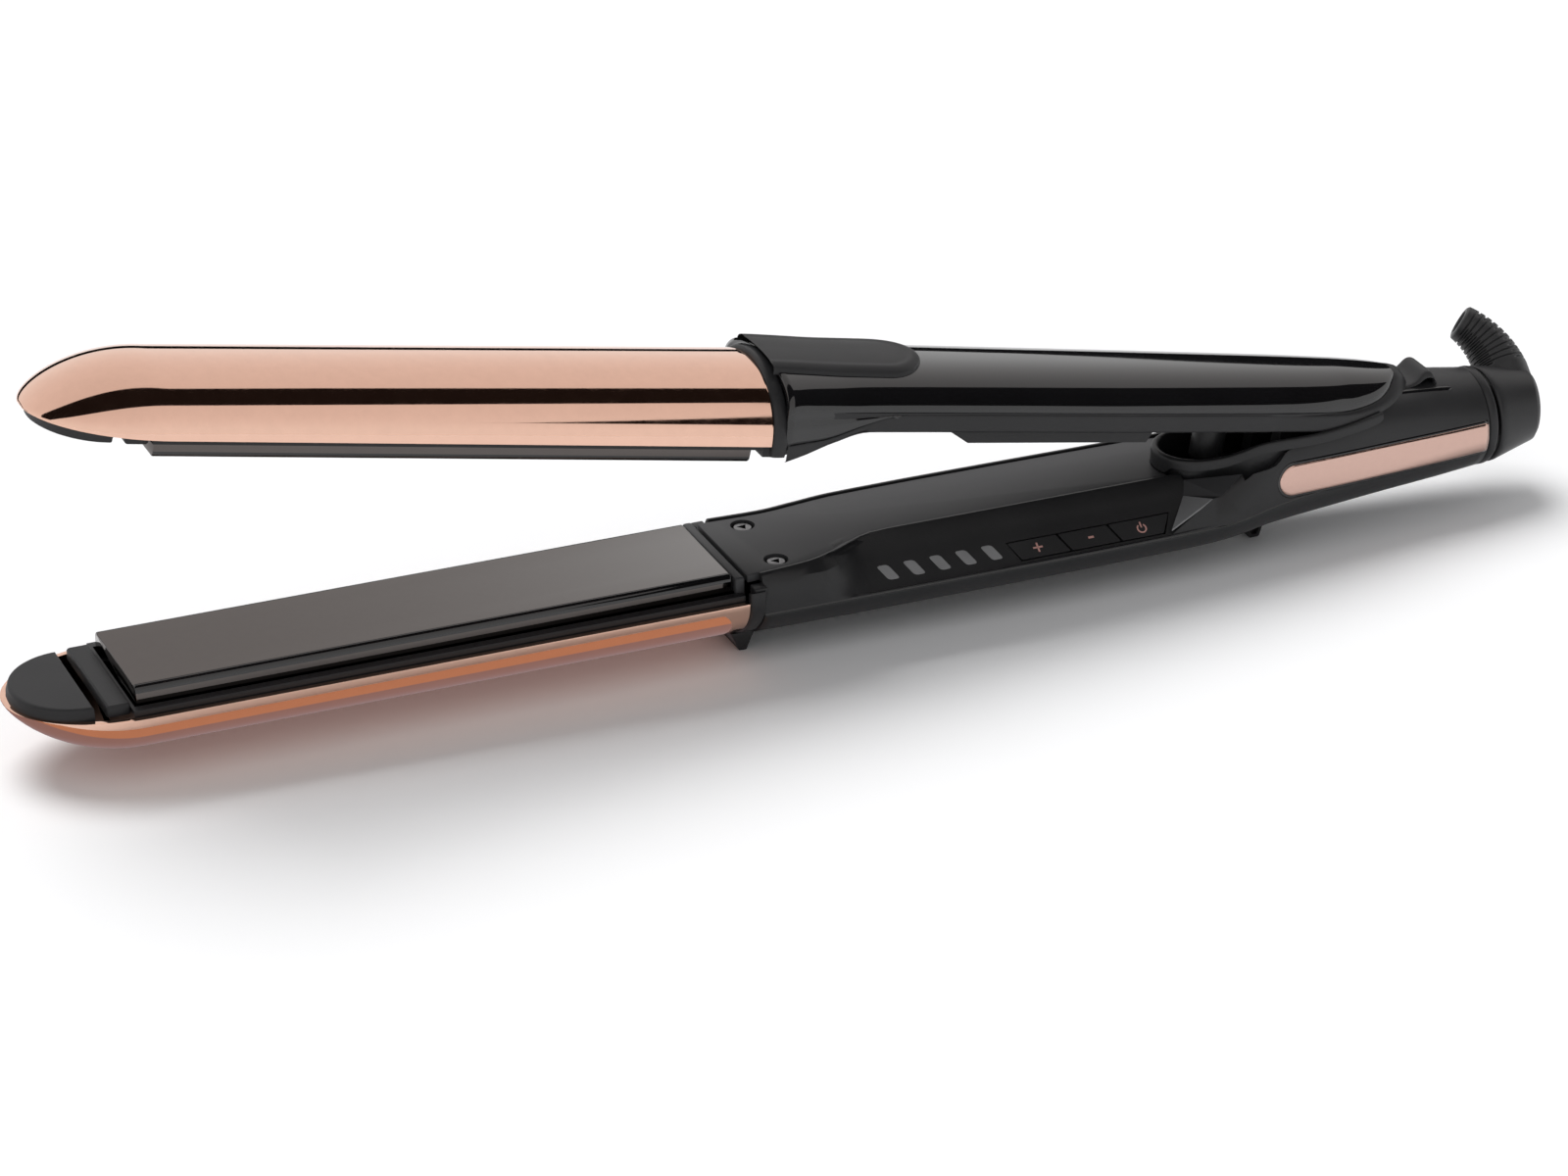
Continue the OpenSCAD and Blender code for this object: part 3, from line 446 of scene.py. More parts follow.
def panel(s, x, lift=0.0):
    """Point on the control panel, s down its slope."""
    c, k = math.cos(panel_deg), math.sin(panel_deg)
    return (x, -4.2 - s * c - lift * k, 16.8 - s * k + lift * c)


def wall_row(x):
    """Near wall: seam, foot of the panel, its face up to the crease, bevel, rolled edge of the cover."""
    f = min(1.0, max(0.0, (x - 12.5) / 11.0))
    f = f * f * (3 - 2 * f)
    edge, w = smooth(NEAR, x), smooth(W_LOW, x)

    def mix(a, b):
        return tuple(b[k] + (a[k] - b[k]) * f for k in range(3))

    return [(x, -w, 9.62), (x, -w + 0.04, 9.95), mix(panel(11.9, x), (x, -w + 0.12, 10.8)),
            mix(panel(10.0, x), (x, -w + 0.2, 12.0)), mix(panel(7.6, x), (x, -w + 0.35, 13.2)),
            mix(panel(5.4, x), (x, -w + 0.6, 14.5)), mix(panel(3.5, x), (x, -w + 1.05, 15.6)),
            mix(panel(0.75, x, 0.25), (x, edge - 0.75, 16.65)), (x, edge - 0.12, 16.98),
            (x, edge + 0.35, 16.95), (x, edge + 0.6, 16.2)]


xs = [1.3, 4, 8, 11, 12.5] + [12.5 + 11 * i / 16 for i in range(1, 17)] + [26, 30, 40, 50, 60, 70, 78, 82.6]
wall_rows = [wall_row(x) for x in xs]
verts, faces = grid(wall_rows)
base, last = len(verts), wall_rows[-1]
# Corners of the facets that turn the control panel into the rear casing
T, TL, R = (87.9, -7.8, 14.15), (88.9, -5.7, 16.3), (91.6, -12.6, 14.9)
R2, D2 = (93.6, -12.55, 15.1), (98.5, -10.6, 17.8)
near_rows = []
for i in range(61):
    x = 98.5 + (X1 - 98.5) * i / 60
    top = math.pi / 2
    for k in range(200):
        p = upper_section(x, math.pi / 2 * k / 199)
        if p[2] > smooth(CUT, x) or (x < 138 and p[1] < nest(x)):
            top = math.pi / 2 * max(1, k) / 199
            break
    near_rows.append([upper_section(x, top * v / 24) for v in range(25)])
arc0 = [(p[0], -p[1], p[2]) for p in near_rows[0]]
extra = [T, TL, R, R2, D2, (88.9, -4.32, 16.98), (88.9, -3.85, 16.95), (88.9, -3.6, 16.2),
         (91.6, -14.1, 9.62), (91.6, -14.0, 10.1)]
iT, iTL, iR, iR2, iD2, i8, i9, i10, iA, iF = [base + k for k in range(10)]
verts += extra
L = base - len(last)
faces += [(L + 2, L + 3, iT), (L + 3, L + 4, iT), (L + 4, L + 5, iT), (L + 5, L + 6, iT), (L + 6, L + 7, iTL),
          (L + 6, iTL, iT), (L + 7, L + 8, i8, iTL), (L + 8, L + 9, i9, i8), (L + 9, L + 10, i10, i9),
          (L + 2, iT, iR), (L, L + 1, iF, iA), (L + 1, L + 2, iR, iF), (iT, iTL, iD2), (iT, iD2, iR2),
          (iT, iR2, iR)]
base = len(verts)
verts += arc0
faces += [(iR2, base + v, base + v + 1) for v in range(24)]
faces += [(iR2, base + 24, iD2), (iA, base, iR2, iF), (iF, iR2, iR)]
for sign in (-1, 1):
    b0 = len(verts)
    gv, gf = grid([[(p[0], sign * p[1], p[2]) for p in r] for r in near_rows])
    verts += gv
    faces += [tuple(b0 + k for k in f) for f in gf]
# Far wall
b0 = len(verts)
far = []
for x in xs + [86, 90, 94, 98.5]:
    w, fe = smooth(W_LOW, x), smooth(FAR, x)
    rise = max(0.0, (x - 90) / 8.5)
    far.append([(x, w, 9.62), (x, w - 0.05, 12.0), (x, w - 0.25, 14.6), (x, min(w - 0.5, fe + 0.9), 16.6),
                (x, fe + 0.4, 17.0 + 0.45 * rise), (x, fe, 16.95 + 0.45 * rise), (x, fe - 0.05, 16.2)])
gv, gf = grid(far)
verts += gv
faces += [tuple(b0 + k for k in f) for f in gf]
casing = mesh_piece("casing_top", verts, faces, ["lower_top_casing"], thick=1.2)


def carve(o, cutters):
    """Cuts the cutters out of o for good, then removes them."""
    for c in cutters:
        m = o.modifiers.new("cut", "BOOLEAN")
        m.operation, m.solver, m.object = "DIFFERENCE", "EXACT", c
    bpy.context.view_layer.update()
    me = bpy.data.meshes.new_from_object(o.evaluated_get(bpy.context.evaluated_depsgraph_get()))
    o.modifiers.clear()
    o.data = me
    for c in cutters:
        bpy.data.objects.remove(c)


def prism(name, outline, depth, lift, rounding=0.0, segs=4):
    """Mesh data of an outline on the panel (x, height on the slope), from depth below to lift above it."""
    pts = outline
    if rounding:
        pts, m = [], len(outline)
        for i, p in enumerate(outline):
            a, b = Vector(outline[i - 1]) - Vector(p), Vector(outline[(i + 1) % m]) - Vector(p)
            u, w = a.normalized() * rounding, b.normalized() * rounding
            for k in range(segs + 1):
                t = k / segs
                pts.append(tuple(Vector(p) + u * (1 - t) ** 2 + w * t ** 2))
    k = len(pts)
    verts = [panel(-y, x, -depth) for x, y in pts] + [panel(-y, x, lift) for x, y in pts]
    faces = [tuple(range(k - 1, -1, -1)), tuple(range(k, 2 * k))]
    faces += side_quads(k)
    return verts, faces


def cutter(verts, faces):
    me = bpy.data.meshes.new("cutter")
    me.from_pydata([(p[0] * MM, p[1] * MM, p[2] * MM) for p in verts], [], faces)
    o = bpy.data.objects.new("cutter", me)
    bpy.context.scene.collection.objects.link(o)
    return o


# Keys and windows: x along the panel, y the height on its slope, and how far the ends lean
KEY_X, KEY_Y, LEAN, LAST_LEAN, KEY_GAP = [50.9, 61.1, 71.3, 84.1], (-11.15, -7.45), 1.7, -2.3, 0.5
WIN_X, WIN_Y, WIN_LEAN, WIN_W = [24.9 + 5.15 * i for i in range(5)], (-10.15, -6.95), 1.5, 2.3


def key_outline(k, g):
    a, b, lean = KEY_X[k], KEY_X[k + 1] - KEY_GAP, LAST_LEAN if k == 2 else LEAN
    low, high = KEY_Y[0] - g, KEY_Y[1] + g
    return [(a + LEAN - g, low), (b + lean + g, low), (b + g, high), (a - g, high)]


def window_outline(x, g):
    low, high = WIN_Y[0] - g, WIN_Y[1] + g
    return [(x + WIN_LEAN - g, low), (x + WIN_LEAN + WIN_W + g, low), (x + WIN_W + g, high), (x - g, high)]


keys_end, clear = KEY_X[3] - KEY_GAP, 0.28
keys_hole = [(KEY_X[0] + LEAN - clear, KEY_Y[0] - clear), (keys_end + LAST_LEAN + clear, KEY_Y[0] - clear),
             (keys_end + clear, KEY_Y[1] + clear), (KEY_X[0] - clear, KEY_Y[1] + clear)]
cuts = [cutter(*prism("c", keys_hole, 2.5, 1.5))]
cuts += [cutter(*prism("c", window_outline(x, 0.0), 2.5, 1.5, 0.7)) for x in WIN_X]
carve(casing, cuts)
casing.data.set_sharp_from_angle(angle=math.radians(28))


def facet(name, pts, mat, rise=0.06):
    """A flat face let into the casing, a hair proud of it, in a lighter grey: painted light on the facet."""
    p = [Vector(v) for v in pts]
    nrm = (p[1] - p[0]).cross(p[2] - p[0]).normalized()
    if nrm.z < 0:
        nrm = -nrm
    mid = sum(p, Vector()) / len(p)
    top = [tuple(mid + (v - mid) * 0.985 + nrm * rise) for v in p]
    low = [tuple(v - nrm * 0.3) for v in p]
    k = len(p)
    faces = [tuple(range(k)), tuple(range(k, 2 * k))] + side_quads(k)
    o = mesh_piece(name, top + low, faces, [], body="base", slot="matte_black", flat=True)
    o.data.materials.clear()
    o.data.materials.append(MATS[mat])


foot_b = (82.6, -13.8, 10.8)
# Both facets are lighter than the casing: painted highlight on the front facet, painted light on the top
# facet.
facet("facet_front", [foot_b, T, R], "facet_painted_highlight")
facet("facet_top", [TL, T, R2, D2], "facet_painted_light", 0.04)
# Fine bead where the two casings meet
bead = []
for i in range(97):
    x = X0 + (X1 - X0) * i / 96
    w, zs = smooth(W_LOW, x), smooth(Z_SPLIT, x)
    bead.append([(x, -w - 0.10 + 0.14 * (1 - math.sin(math.pi * k / 4)), zs - 0.16 + 0.08 * k)
                 for k in range(5)])
verts, faces = grid(bead)
mesh_piece("seam_bead_near", verts, faces, [], body="base", slot="gloss_black")
verts, faces = grid([[(x, -y, z) for x, y, z in r] for r in bead])
mesh_piece("seam_bead_far", verts, faces, [], body="base", slot="gloss_black")


def deck_z(x, y):
    """Height of the rear casing's top at x, y."""
    e, w, z0, z1 = smooth(SQUARE, x), smooth(W_LOW, x), smooth(Z_SPLIT, x), smooth(Z_TOP, x)
    c = min(1.0, abs(y) / w) ** (1 / e)
    return z0 + (z1 - z0) * math.sqrt(max(0.0, 1 - c * c)) ** e


for k, nm in enumerate(("plus", "minus", "power")):
    verts, faces = prism(nm, key_outline(k, 0.0), 1.4, 0.12, 0.25, 3)
    mesh_piece("key_" + nm, verts, faces, [nm + "_button"], bevel=0.16, segs=3, flat=True)
for k, x in enumerate(WIN_X):
    verts, faces = prism("w", window_outline(x, -0.02), 1.5, 0.05, 0.7)
    mesh_piece(f"window_{k}", verts, faces, ["status_windows"], bevel=0.12, segs=3, flat=True)


print_mat = plastic("key_print", (0.60, 0.32, 0.28), 0.5, 3000.0, 0.1, 0.4)


def symbol(name, shapes, body):
    verts, faces = [], []
    for s in shapes:
        v, f = prism("s", s, -0.05, 0.16)
        faces += [tuple(len(verts) + i for i in q) for q in f]
        verts += v
    o = mesh_piece(name, verts, faces, [], body=body, slot="rose_gold", flat=True)
    o.data.materials.clear()
    o.data.materials.append(print_mat)


def bar(cx, cy, w, h):
    return [(cx + a * w / 2, cy + b * h / 2) for a, b in ((-1, -1), (1, -1), (1, 1), (-1, 1))]


symbol("sign_plus", [bar(56.35, -9.3, 1.9, 0.34), bar(56.35, -9.3, 0.34, 1.9)], "plus_key")
symbol("sign_minus", [bar(67.1, -9.3, 1.1, 0.42)], "minus_key")
ring_out, ring_in = 0.98, 0.70
arc = [math.radians(125 + 290 * i / 20) for i in range(21)]
cx, cy = 77.4, -9.45
quads = [[(cx + r * math.cos(t), cy + r * math.sin(t)) for r, t in
          ((ring_in, a), (ring_out, a), (ring_out, b), (ring_in, b))] for a, b in zip(arc, arc[1:])]
symbol("sign_power", quads + [bar(cx, cy + 0.75, 0.28, 1.2)], "power_key")

# Raised lip round the spring well that runs back along both cheeks
quarter = [math.pi / 2 * i / 12 for i in range(13)]
half = [(93.8 - 7.15 * math.cos(a), 7.15 * math.sin(a), 20.35) for a in quarter]
half += [(96.2, 7.75, 20.55), (98.9, 9.0, 21.6), (101, 10.5, 23.1), (104, 11.2, 23.7), (108, 11.55, 23.8),
         (113, 11.4, 23.6), (118, 11.0, 23.8), (123, 10.4, 24.2), (128, 9.6, 24.7)]
path = [(x, -y, z) for x, y, z in reversed(half)] + half[1:]
rows = []
for i, (x, y, z) in enumerate(path):
    a, b = path[max(0, i - 1)], path[min(len(path) - 1, i + 1)]
    d = Vector((b[0] - a[0], b[1] - a[1])).normalized()
    ox, oy = -d.y, d.x
    if ox * (x - 100) + oy * y < 0 and x > 92.4 or (x <= 92.4 and ox * (x - 92.4) + oy * y < 0):
        ox, oy = -ox, -oy
    w = 0.75 if x < 100 else 0.62
    low_out = z - (3.4 if y > -3 and x < 94 else 1.9)
    prof = [(w + 0.05, low_out), (w, z - 0.7), (w * 0.8, z - 0.2), (w * 0.3, z), (-w * 0.3, z),
            (-w * 0.8, z - 0.2), (-w, z - 0.7), (-w - 0.05, 12.2)]
    rows.append([(x + ox * o, y + oy * o, h) for o, h in prof])
verts, faces = grid(rows)
mesh_piece("well_lip", verts, faces, [], body="base", slot="matte_black", sub=2)

# The well's floor
rows = []
for a in range(22):
    x = 92.4 - 7.4 * math.cos(math.pi * a / 24) if a <= 12 else 92.4 + (a - 12) * 0.9
    y = 7.4 * math.sin(math.pi * min(a, 12) / 24)
    rows.append([(x, s * y, 12.4) for s in (-1, -0.5, 0, 0.5, 1)])
verts, faces = grid(rows)
mesh_piece("well_floor", verts, faces, [], body="base", slot="matte_black")


def upright(outline, z0, z1):
    k = len(outline)
    verts = [(x, y, z0) for x, y in outline] + [(x, y, z1) for x, y in outline]
    return verts, [tuple(range(k - 1, -1, -1)), tuple(range(k, 2 * k))] + side_quads(k)


# ---------- plates and tips ----------
def loft(rows):
    """Closed rows joined into a solid with flat ends."""
    verts, faces = grid(rows, closed=True)
    n, m = len(rows[0]), len(rows)
    return verts, faces + [tuple(range(n - 1, -1, -1)), tuple(range((m - 1) * n, m * n))]


def plate_row(x, inset, drop):
    """Cross-section of a plate, y and depth, drawn smaller by the insets at its rounded ends."""
    e = 1.25
    half = [(5.0, 0.0), (12.1 - e, 0.0)] + [(12 - e + e * math.sin(a), e - e * math.cos(a)) for a in
                                           [math.pi / 2 * k / 8 for k in range(9)]]
    half += [(12.06, 1.9), (12.06, 2.9), (11.95, 3.6), (11.6, 4.2), (10.8, 4.4)]
    half = [(y - (inset if y > 6 else 0.0), max(d, drop)) for y, d in half]
    return [(x, -y, d) for y, d in reversed(half)] + [(x, y, d) for y, d in half]


def make_plate(name, node, move):
    ends = [(0.0, 0.28, 0.3), (0.08, 0.12, 0.13), (0.3, 0.0, 0.0)]
    rows = [plate_row(PX0 + a, i, d) for a, i, d in ends]
    rows += [plate_row(PX1 - a, i, d) for a, i, d in reversed(ends)]
    verts, faces = loft(rows)
    o = mesh_piece(name, verts, faces, [node], move=move)
    # Black gloss on the plate's rounded edges and under-rim: painted dark reflection band where the metal
    # edge would mirror the dark flag overhead.
    o.data.materials.append(MATS["gloss_black"])
    for k, f in enumerate(o.data.polygons):
        v = k % 32
        if min(v, 30 - v) in (0, 1, 5, 6, 7, 8, 9, 10, 11, 12) and k < 32 * 5 or v == 31:
            f.material_index = 1
    o.data.set_sharp_from_angle(angle=math.radians(50))
    return o


make_plate("plate_lower", "lower_plate", arm_low)
make_plate("plate_upper", "upper_plate", arm_up)


def tip(name, node, body, move):
    verts, faces, rows = [], [], []
    for o, d in [(0.3, 4.9), (0.28, 3.9), (0.12, 3.55), (0.02, 3.3), (0.0, 2.95), (-0.12, 2.68), (-0.4, 2.52),
                 (-0.8, 2.5)]:
        rows.append([(-121.3 - (11.5 + o) * math.sin(a) + (0.0 if o > -0.1 else o * 0.6 * math.cos(a) ** 8),
                      -(11.75 + o) * math.cos(a), d) for a in [math.pi * k / 56 for k in range(57)]])
    v, f = grid(rows, closed=True)
    f.append(tuple(range(len(v) - 57, len(v))))
    verts += v
    faces += f
    k = len(verts)
    bar_rows = []
    for x, t in ((-119.2, 0.35), (-119.0, 0.1), (-118.75, 0.0), (-115.45, 0.0), (-115.25, 0.1),
                 (-115.1, 0.35)):
        end = [(12.3 - t, 4.6), (12.3 - t, 2.9), (12.0 - t * 0.5, 2.55 + t)]
        bar_rows.append([(x, -y, d) for y, d in end] + [(x, y, d) for y, d in reversed(end)])
    v, f = loft(bar_rows)
    verts += v
    faces += [tuple(k + i for i in q) for q in f]
    o = mesh_piece(name, verts, faces, [node], body=body, move=move)
    o.data.set_sharp_from_angle(angle=math.radians(40))


tip("tip_lower", "lower_tip_pad", "base", arm_low)
tip("tip_upper", "upper_tip_pad", "upper_arm", arm_up)

# ---------- inner cover, screws and lower collar ----------
near_x = [-1.0, 2, 5, 8, 11, 13, 15, 17, 19, 21, 23, 25, 27, 30, 40, 60, 80, 86.5]
near_edge = [(x, smooth(NEAR, x) + 0.42) for x in near_x]
near_edge += [(88.9, -4.2), (91.2, -7.0), (93.5, -8.7), (96, -9.6), (100, -10.7)]
far_x = [-1.0, 2, 5, 8, 11, 14, 18, 22, 26, 32, 43, 60, 80, 88, 92]
far_edge = [(x, smooth(FAR, x) - 0.35) for x in far_x]
far_edge += [(96, 12.0), (100, 11.4)]
outline = near_edge + list(reversed(far_edge))


def slab(outline, levels):
    """Solid with an upright side from an outline; levels are (inset, z) from bottom to top."""
    k = len(outline)
    rows = []
    for inset, z in levels:
        row = []
        for i, p in enumerate(outline):
            a, b = Vector(outline[i - 1]), Vector(outline[(i + 1) % k])
            u, w = (Vector(p) - a).normalized(), (b - Vector(p)).normalized()
            q = Vector((-(u + w).y, (u + w).x)).normalized()
            row.append((p[0] + q.x * inset, p[1] + q.y * inset, z))
        rows.append(row)
    return loft(rows)


verts, faces = slab(outline, [(0.0, 15.4), (0.0, 16.45), (0.08, 16.62), (0.22, 16.72), (0.45, 16.77)])
SCREW_X, SCREW_Y = 6.3, 7.7
cover = mesh_piece("cover", verts, faces, ["inner_cover"])
circle_turns = [2 * math.pi * i / 32 for i in range(32)]


def disc(x, y, r):
    return [(x + r * math.cos(a), y + r * math.sin(a)) for a in circle_turns]


carve(cover, [cutter(*upright(disc(93.8, 0, 8.0), 10, 20)),
              cutter(*upright([(93.8, -12), (101, -12), (101, 8.0), (93.8, 8.0)], 10, 20))]
      + [cutter(*upright(disc(SCREW_X, s * SCREW_Y, 2.25), 10, 20)) for s in (-1, 1)])
cover.data.set_sharp_from_angle(angle=math.radians(40))

screw_mat = metal("screw_dark", (0.21, 0.21, 0.215), 0.36, 1600.0, 0.3, bump=0.15)


def lathe(profile, place, segs=64):
    """Rows round an axis; profile is (radius, height), place turns (x, y, h) into millimetres."""
    turns = [2 * math.pi * k / segs for k in range(segs)]
    rows = [[place(r * math.cos(t), r * math.sin(t), h) for t in turns] for r, h in profile]
    return grid(rows, closed=True)


for s in (-1, 1):
    prof = [(0.02, 16.45), (1.4, 16.45), (1.6, 16.4), (1.75, 16.2), (1.8, 15.95), (1.8, 14.6), (0.02, 14.6)]
    verts, faces = lathe(prof, lambda a, b, h, s=s: (SCREW_X + a, s * SCREW_Y + b, h), 40)
    o = mesh_piece(f"screw_{'near' if s < 0 else 'far'}", verts, faces, ["cover_screws"])
    tri = [(SCREW_X + 1.1 * math.cos(a), s * SCREW_Y + 1.1 * math.sin(a))
           for a in [math.radians(40 + 120 * i) for i in range(3)]]
    carve(o, [cutter(*upright(tri, 15.3, 18))])
    o.data.materials.clear()
    o.data.materials.append(screw_mat)
    o.data.set_sharp_from_angle(angle=math.radians(35))

# Collar: a rolled band round the barrel's end, with the bar that parts plate and cover, and the front foot
rows = []
for x, o in [(-1.9, -0.8), (-1.95, 0.0), (-1.75, 0.28), (-1.3, 0.4), (0.3, 0.4), (0.85, 0.28), (1.15, 0.0),
             (1.2, -0.8)]:
    row = [(x, -(15.35 + o), 14.9)]
    for v in range(65):
        t = math.pi * v / 64
        row.append((x, -(15.45 + o) * math.cos(t), 13.3 - (10.75 + o) * math.sin(t)))
    rows.append(row + [(x, 15.35 + o, 14.9)])
verts, faces = grid(rows)
mesh_piece("collar_lower", verts, faces, ["lower_collar"], sub=1)


def block(name, lo, hi, body, slot, bevel, segs=3, taper=0.0):
    (x0, y0, z0), (x1, y1, z1) = lo, hi
    a0, a1 = x0 + taper, x1 - taper
    verts = [(a0, y0, z0), (a1, y0, z0), (a1, y1, z0), (a0, y1, z0), (x0, y0, z1), (x1, y0, z1), (x1, y1, z1),
             (x0, y1, z1)]
    faces = [(3, 2, 1, 0), (4, 5, 6, 7), (0, 1, 5, 4), (1, 2, 6, 5), (2, 3, 7, 6), (3, 0, 4, 7)]
    return mesh_piece(name, verts, faces, [], body=body, slot=slot, bevel=bevel, segs=segs, angle=20)


block("collar_bar", (-3.6, -12.6, 12.6), (-1.75, 12.6, 16.85), "base", "cover_grey", 0.5, 4)
block("front_foot", (-2.6, -8.0, 0.0), (2.0, 8.0, 3.6), "base", "matte_black", 0.18, 2, 1.6)
for s in (-1, 1):
    block(f"collar_step_{'near' if s < 0 else 'far'}", (-0.9, min(s * 12.6, s * 15.2), 13.0),
          (1.6, max(s * 12.6, s * 15.2), 15.4), "base", "matte_black", 0.35)

# ---------- rear end ----------
def side_y(x, z):
    """Half width of the rear casing at x and height z."""
    w, zs, zl = smooth(W_LOW, x), smooth(Z_SPLIT, x), smooth(Z_LOW, x)
    zt, e = smooth(Z_TOP, x), smooth(SQUARE, x)
    if z >= zs:
        k = min(1.0, (z - zs) / (zt - zs)) ** (1 / e)
        return w * math.sqrt(max(0.0, 1 - k * k)) ** e
    k = (zs - z) / (zs - zl)
    return w * math.sqrt(max(0.0, 1 - k * k))


def inlay(name, sign, grow, rise, slot, nodes):
    x0, x1, h0 = 105.3 - grow, 151.3, 3.2 + grow
    rows = []
    for i in range(73):
        if i <= 24:
            x = x0 + h0 * (1 - math.cos(math.pi / 2 * i / 24))
        else:
            x = x0 + h0 + (x1 - x0 - h0) * (i - 24) / 48
        half = h0 * math.sqrt(max(0.0, 1 - max(0.0, (x0 + h0 - x) / h0) ** 2))
        half -= 0.15 * max(0.0, (x - 110) / 42)
        mid = 15.6 - 0.4 * (x - 105.3) / 46.7
        row = []
        for v in range(-10, 11):
            z = mid + half * v / 10
            edge = min(half * (1 - abs(v) / 10), x - x0)
            out = rise * min(1.0, edge / 0.45) ** 0.5 + 0.22 * rise * (1 - (v / 10) ** 2)
            row.append((x, sign * (side_y(x, z) + 0.02 + out), z))
        rows.append(row)
    verts, faces = grid(rows)
    return mesh_piece(name, verts, faces, nodes, body="base", slot=slot, thick=0.25)


for s, side in ((-1, "near"), (1, "far")):
    strip = inlay("inlay_" + side, s, 0.0, 0.30, "rose_gold", ["side_inlays"])
    strip.data.materials.clear()
    strip.data.materials.append(MATS["inlay_metal"])
    # A black gloss border a little wider than the strip: painted shadow of the gap round the inlay.
    inlay("inlay_shadow_gap_" + side, s, 0.42, 0.07, "gloss_black", [])

cap_at = Vector((151.7, 0, 15.7))


def on_swivel(a, b, h):
    return (cap_at.x + h, cap_at.y + a, cap_at.z + b)


ring_prof = [(6.4, 0.15), (8.9, 0.15), (9.2, 0.22), (9.38, 0.45), (9.42, 0.9), (9.42, 1.5), (9.36, 1.85),
             (9.15, 2.08), (8.8, 2.15), (6.4, 2.15)]
verts, faces = lathe(ring_prof, on_swivel, 96)
mesh_piece("ring_rear", verts, faces, ["rear_ring"])
cap_prof = [(5.0, 3.2), (8.0, 3.2), (8.3, 2.95), (8.85, 2.72), (9.08, 2.8), (9.2, 3.0), (9.22, 3.3),
            (9.16, 3.8)]
cap_prof += [(9.16 - (9.16 - 6.85) * t / 8, 3.8 + 9.5 * t / 8) for t in range(1, 9)]
cap_prof += [(6.74, 13.62), (6.5, 13.8), (6.2, 13.9)]
cap_prof += [(6.2 * math.cos(a), 13.9 + 1.35 * math.sin(a)) for a in quarter[1:-1]]
cap_prof += [(0.02, 15.25)]


def on_cap(a, b, h):
    """The cap's far side is longer, so its end leans towards the strain relief."""
    return on_swivel(a, b, h + 0.22 * a * max(0.0, min(1.0, (h - 3.8) / 9.5)))


verts, faces = lathe(cap_prof, on_cap, 96)
mesh_piece("cap_swivel", verts, faces, ["swivel_cap"])

# Strain relief: bends from its root in the cap; short slots stand in turn round it
RX, R_BEND, R_ARC, R_ROOT, R_TILT = 162.4, 16.0, math.radians(45.5), 7.6, math.radians(43)
u = Vector((0, math.cos(R_TILT), math.sin(R_TILT)))
aside, side_v = Vector((-1, 0, 0)), Vector((-1, 0, 0)).cross(u)
rows = []
length = R_BEND * R_ARC
SLOTS, SLOT_HALF, SLOT_DEPTH, SLOT_SPAN = 9, 0.19, 0.34, 1.12
PITCH = length * 0.88 / SLOTS


def relief_point(s, q, r):
    t = max(0.0, s) / R_BEND
    along = R_ROOT + min(0.0, s) + R_BEND * math.sin(t)
    c = Vector((RX, 0, 15.7)) + u * along + aside * R_BEND * (1 - math.cos(t))
    n1 = aside * math.cos(t) - u * math.sin(t)
    return tuple(c + r * (n1 * math.cos(q) + side_v * math.sin(q)))


steps, cols = 190, 96
for i in range(-10, steps + 1):
    s = length * i / steps if i >= 0 else 0.3 * i
    f = max(0.0, s / length)
    r0 = 5.2 - 1.75 * f
    r0 -= 0.5 * max(0.0, (f - 0.965) / 0.035) ** 2
    row = []
    for k in range(cols):
        q = 2 * math.pi * k / cols
        cut = 0.0
        for family in (0, 1):
            phase = (s - length * 0.05) / PITCH - 0.5 * family
            j = round(phase)
            near = abs(phase - j) * PITCH
            if 0 <= j < SLOTS and near < SLOT_HALF:
                centre = 0.2 + family * math.pi / 2
                turn = abs((q - centre + math.pi / 2) % math.pi - math.pi / 2)
                ends = min(1.0, max(0.0, (SLOT_SPAN - turn) / 0.12))
                cut = max(cut, SLOT_DEPTH * max(0.0, 1 - (near / SLOT_HALF) ** 4) * ends)
        row.append(relief_point(s, q, r0 - cut))
    rows.append(row)
rows.append([relief_point(length, 2 * math.pi * k / cols, 2.4) for k in range(cols)])
rows.append([relief_point(length - 4, 2 * math.pi * k / cols, 2.4) for k in range(cols)])
verts, faces = grid(rows, closed=True)
mesh_piece("relief", verts, faces, ["strain_relief"])

# Lock slider: a ramp that rises to a rolled crest across the casing, between two low rails
NUB = [(131.5, 0.05), (135.5, 0.12), (137.6, 0.3), (138.7, 0.8), (139.35, 1.5), (139.9, 2.1), (140.5, 2.4),
       (141.2, 2.42), (141.8, 2.15), (142.2, 1.5), (142.5, 0.7), (142.7, -0.1)]
rows = []
for y in (-4.35, -4.3, -4.15, -3.9, -3.4, -2.5, -1.2, 0.0, 1.2, 2.5, 3.4, 3.9, 4.15, 4.3, 4.35):
    k = max(0.0, (abs(y) - 3.4) / 0.95) ** 3
    rows.append([(x, y, deck_z(x, 2.0) + h * (1 - 0.35 * k) - 0.35 * k) for x, h in NUB])
verts, faces = grid(rows)
mesh_piece("lock_nub", verts, faces, ["lock_slider"], thick=0.5, sub=1)
rows = []
for i in range(33):
    x = 132.0 + 13.2 * i / 32
    w = 0.40 * min(1.0, (145.2 - x) / 0.5 + 0.05) ** 0.5
    rows.append([(x, -5.25 + w * c, deck_z(x, 5.25 - w * c) + h) for c, h in
                 ((-1.3, -0.3), (-1, 0.05), (-0.5, 0.22), (0, 0.27), (0.5, 0.22), (1, 0.05), (1.3, -0.3))])
for side, sign in (("near", 1), ("far", -1)):
    verts, faces = grid([[(x, sign * y, z) for x, y, z in r] for r in rows])
    mesh_piece("lock_rail_" + side, verts, faces, [], body="base", slot="gloss_black")

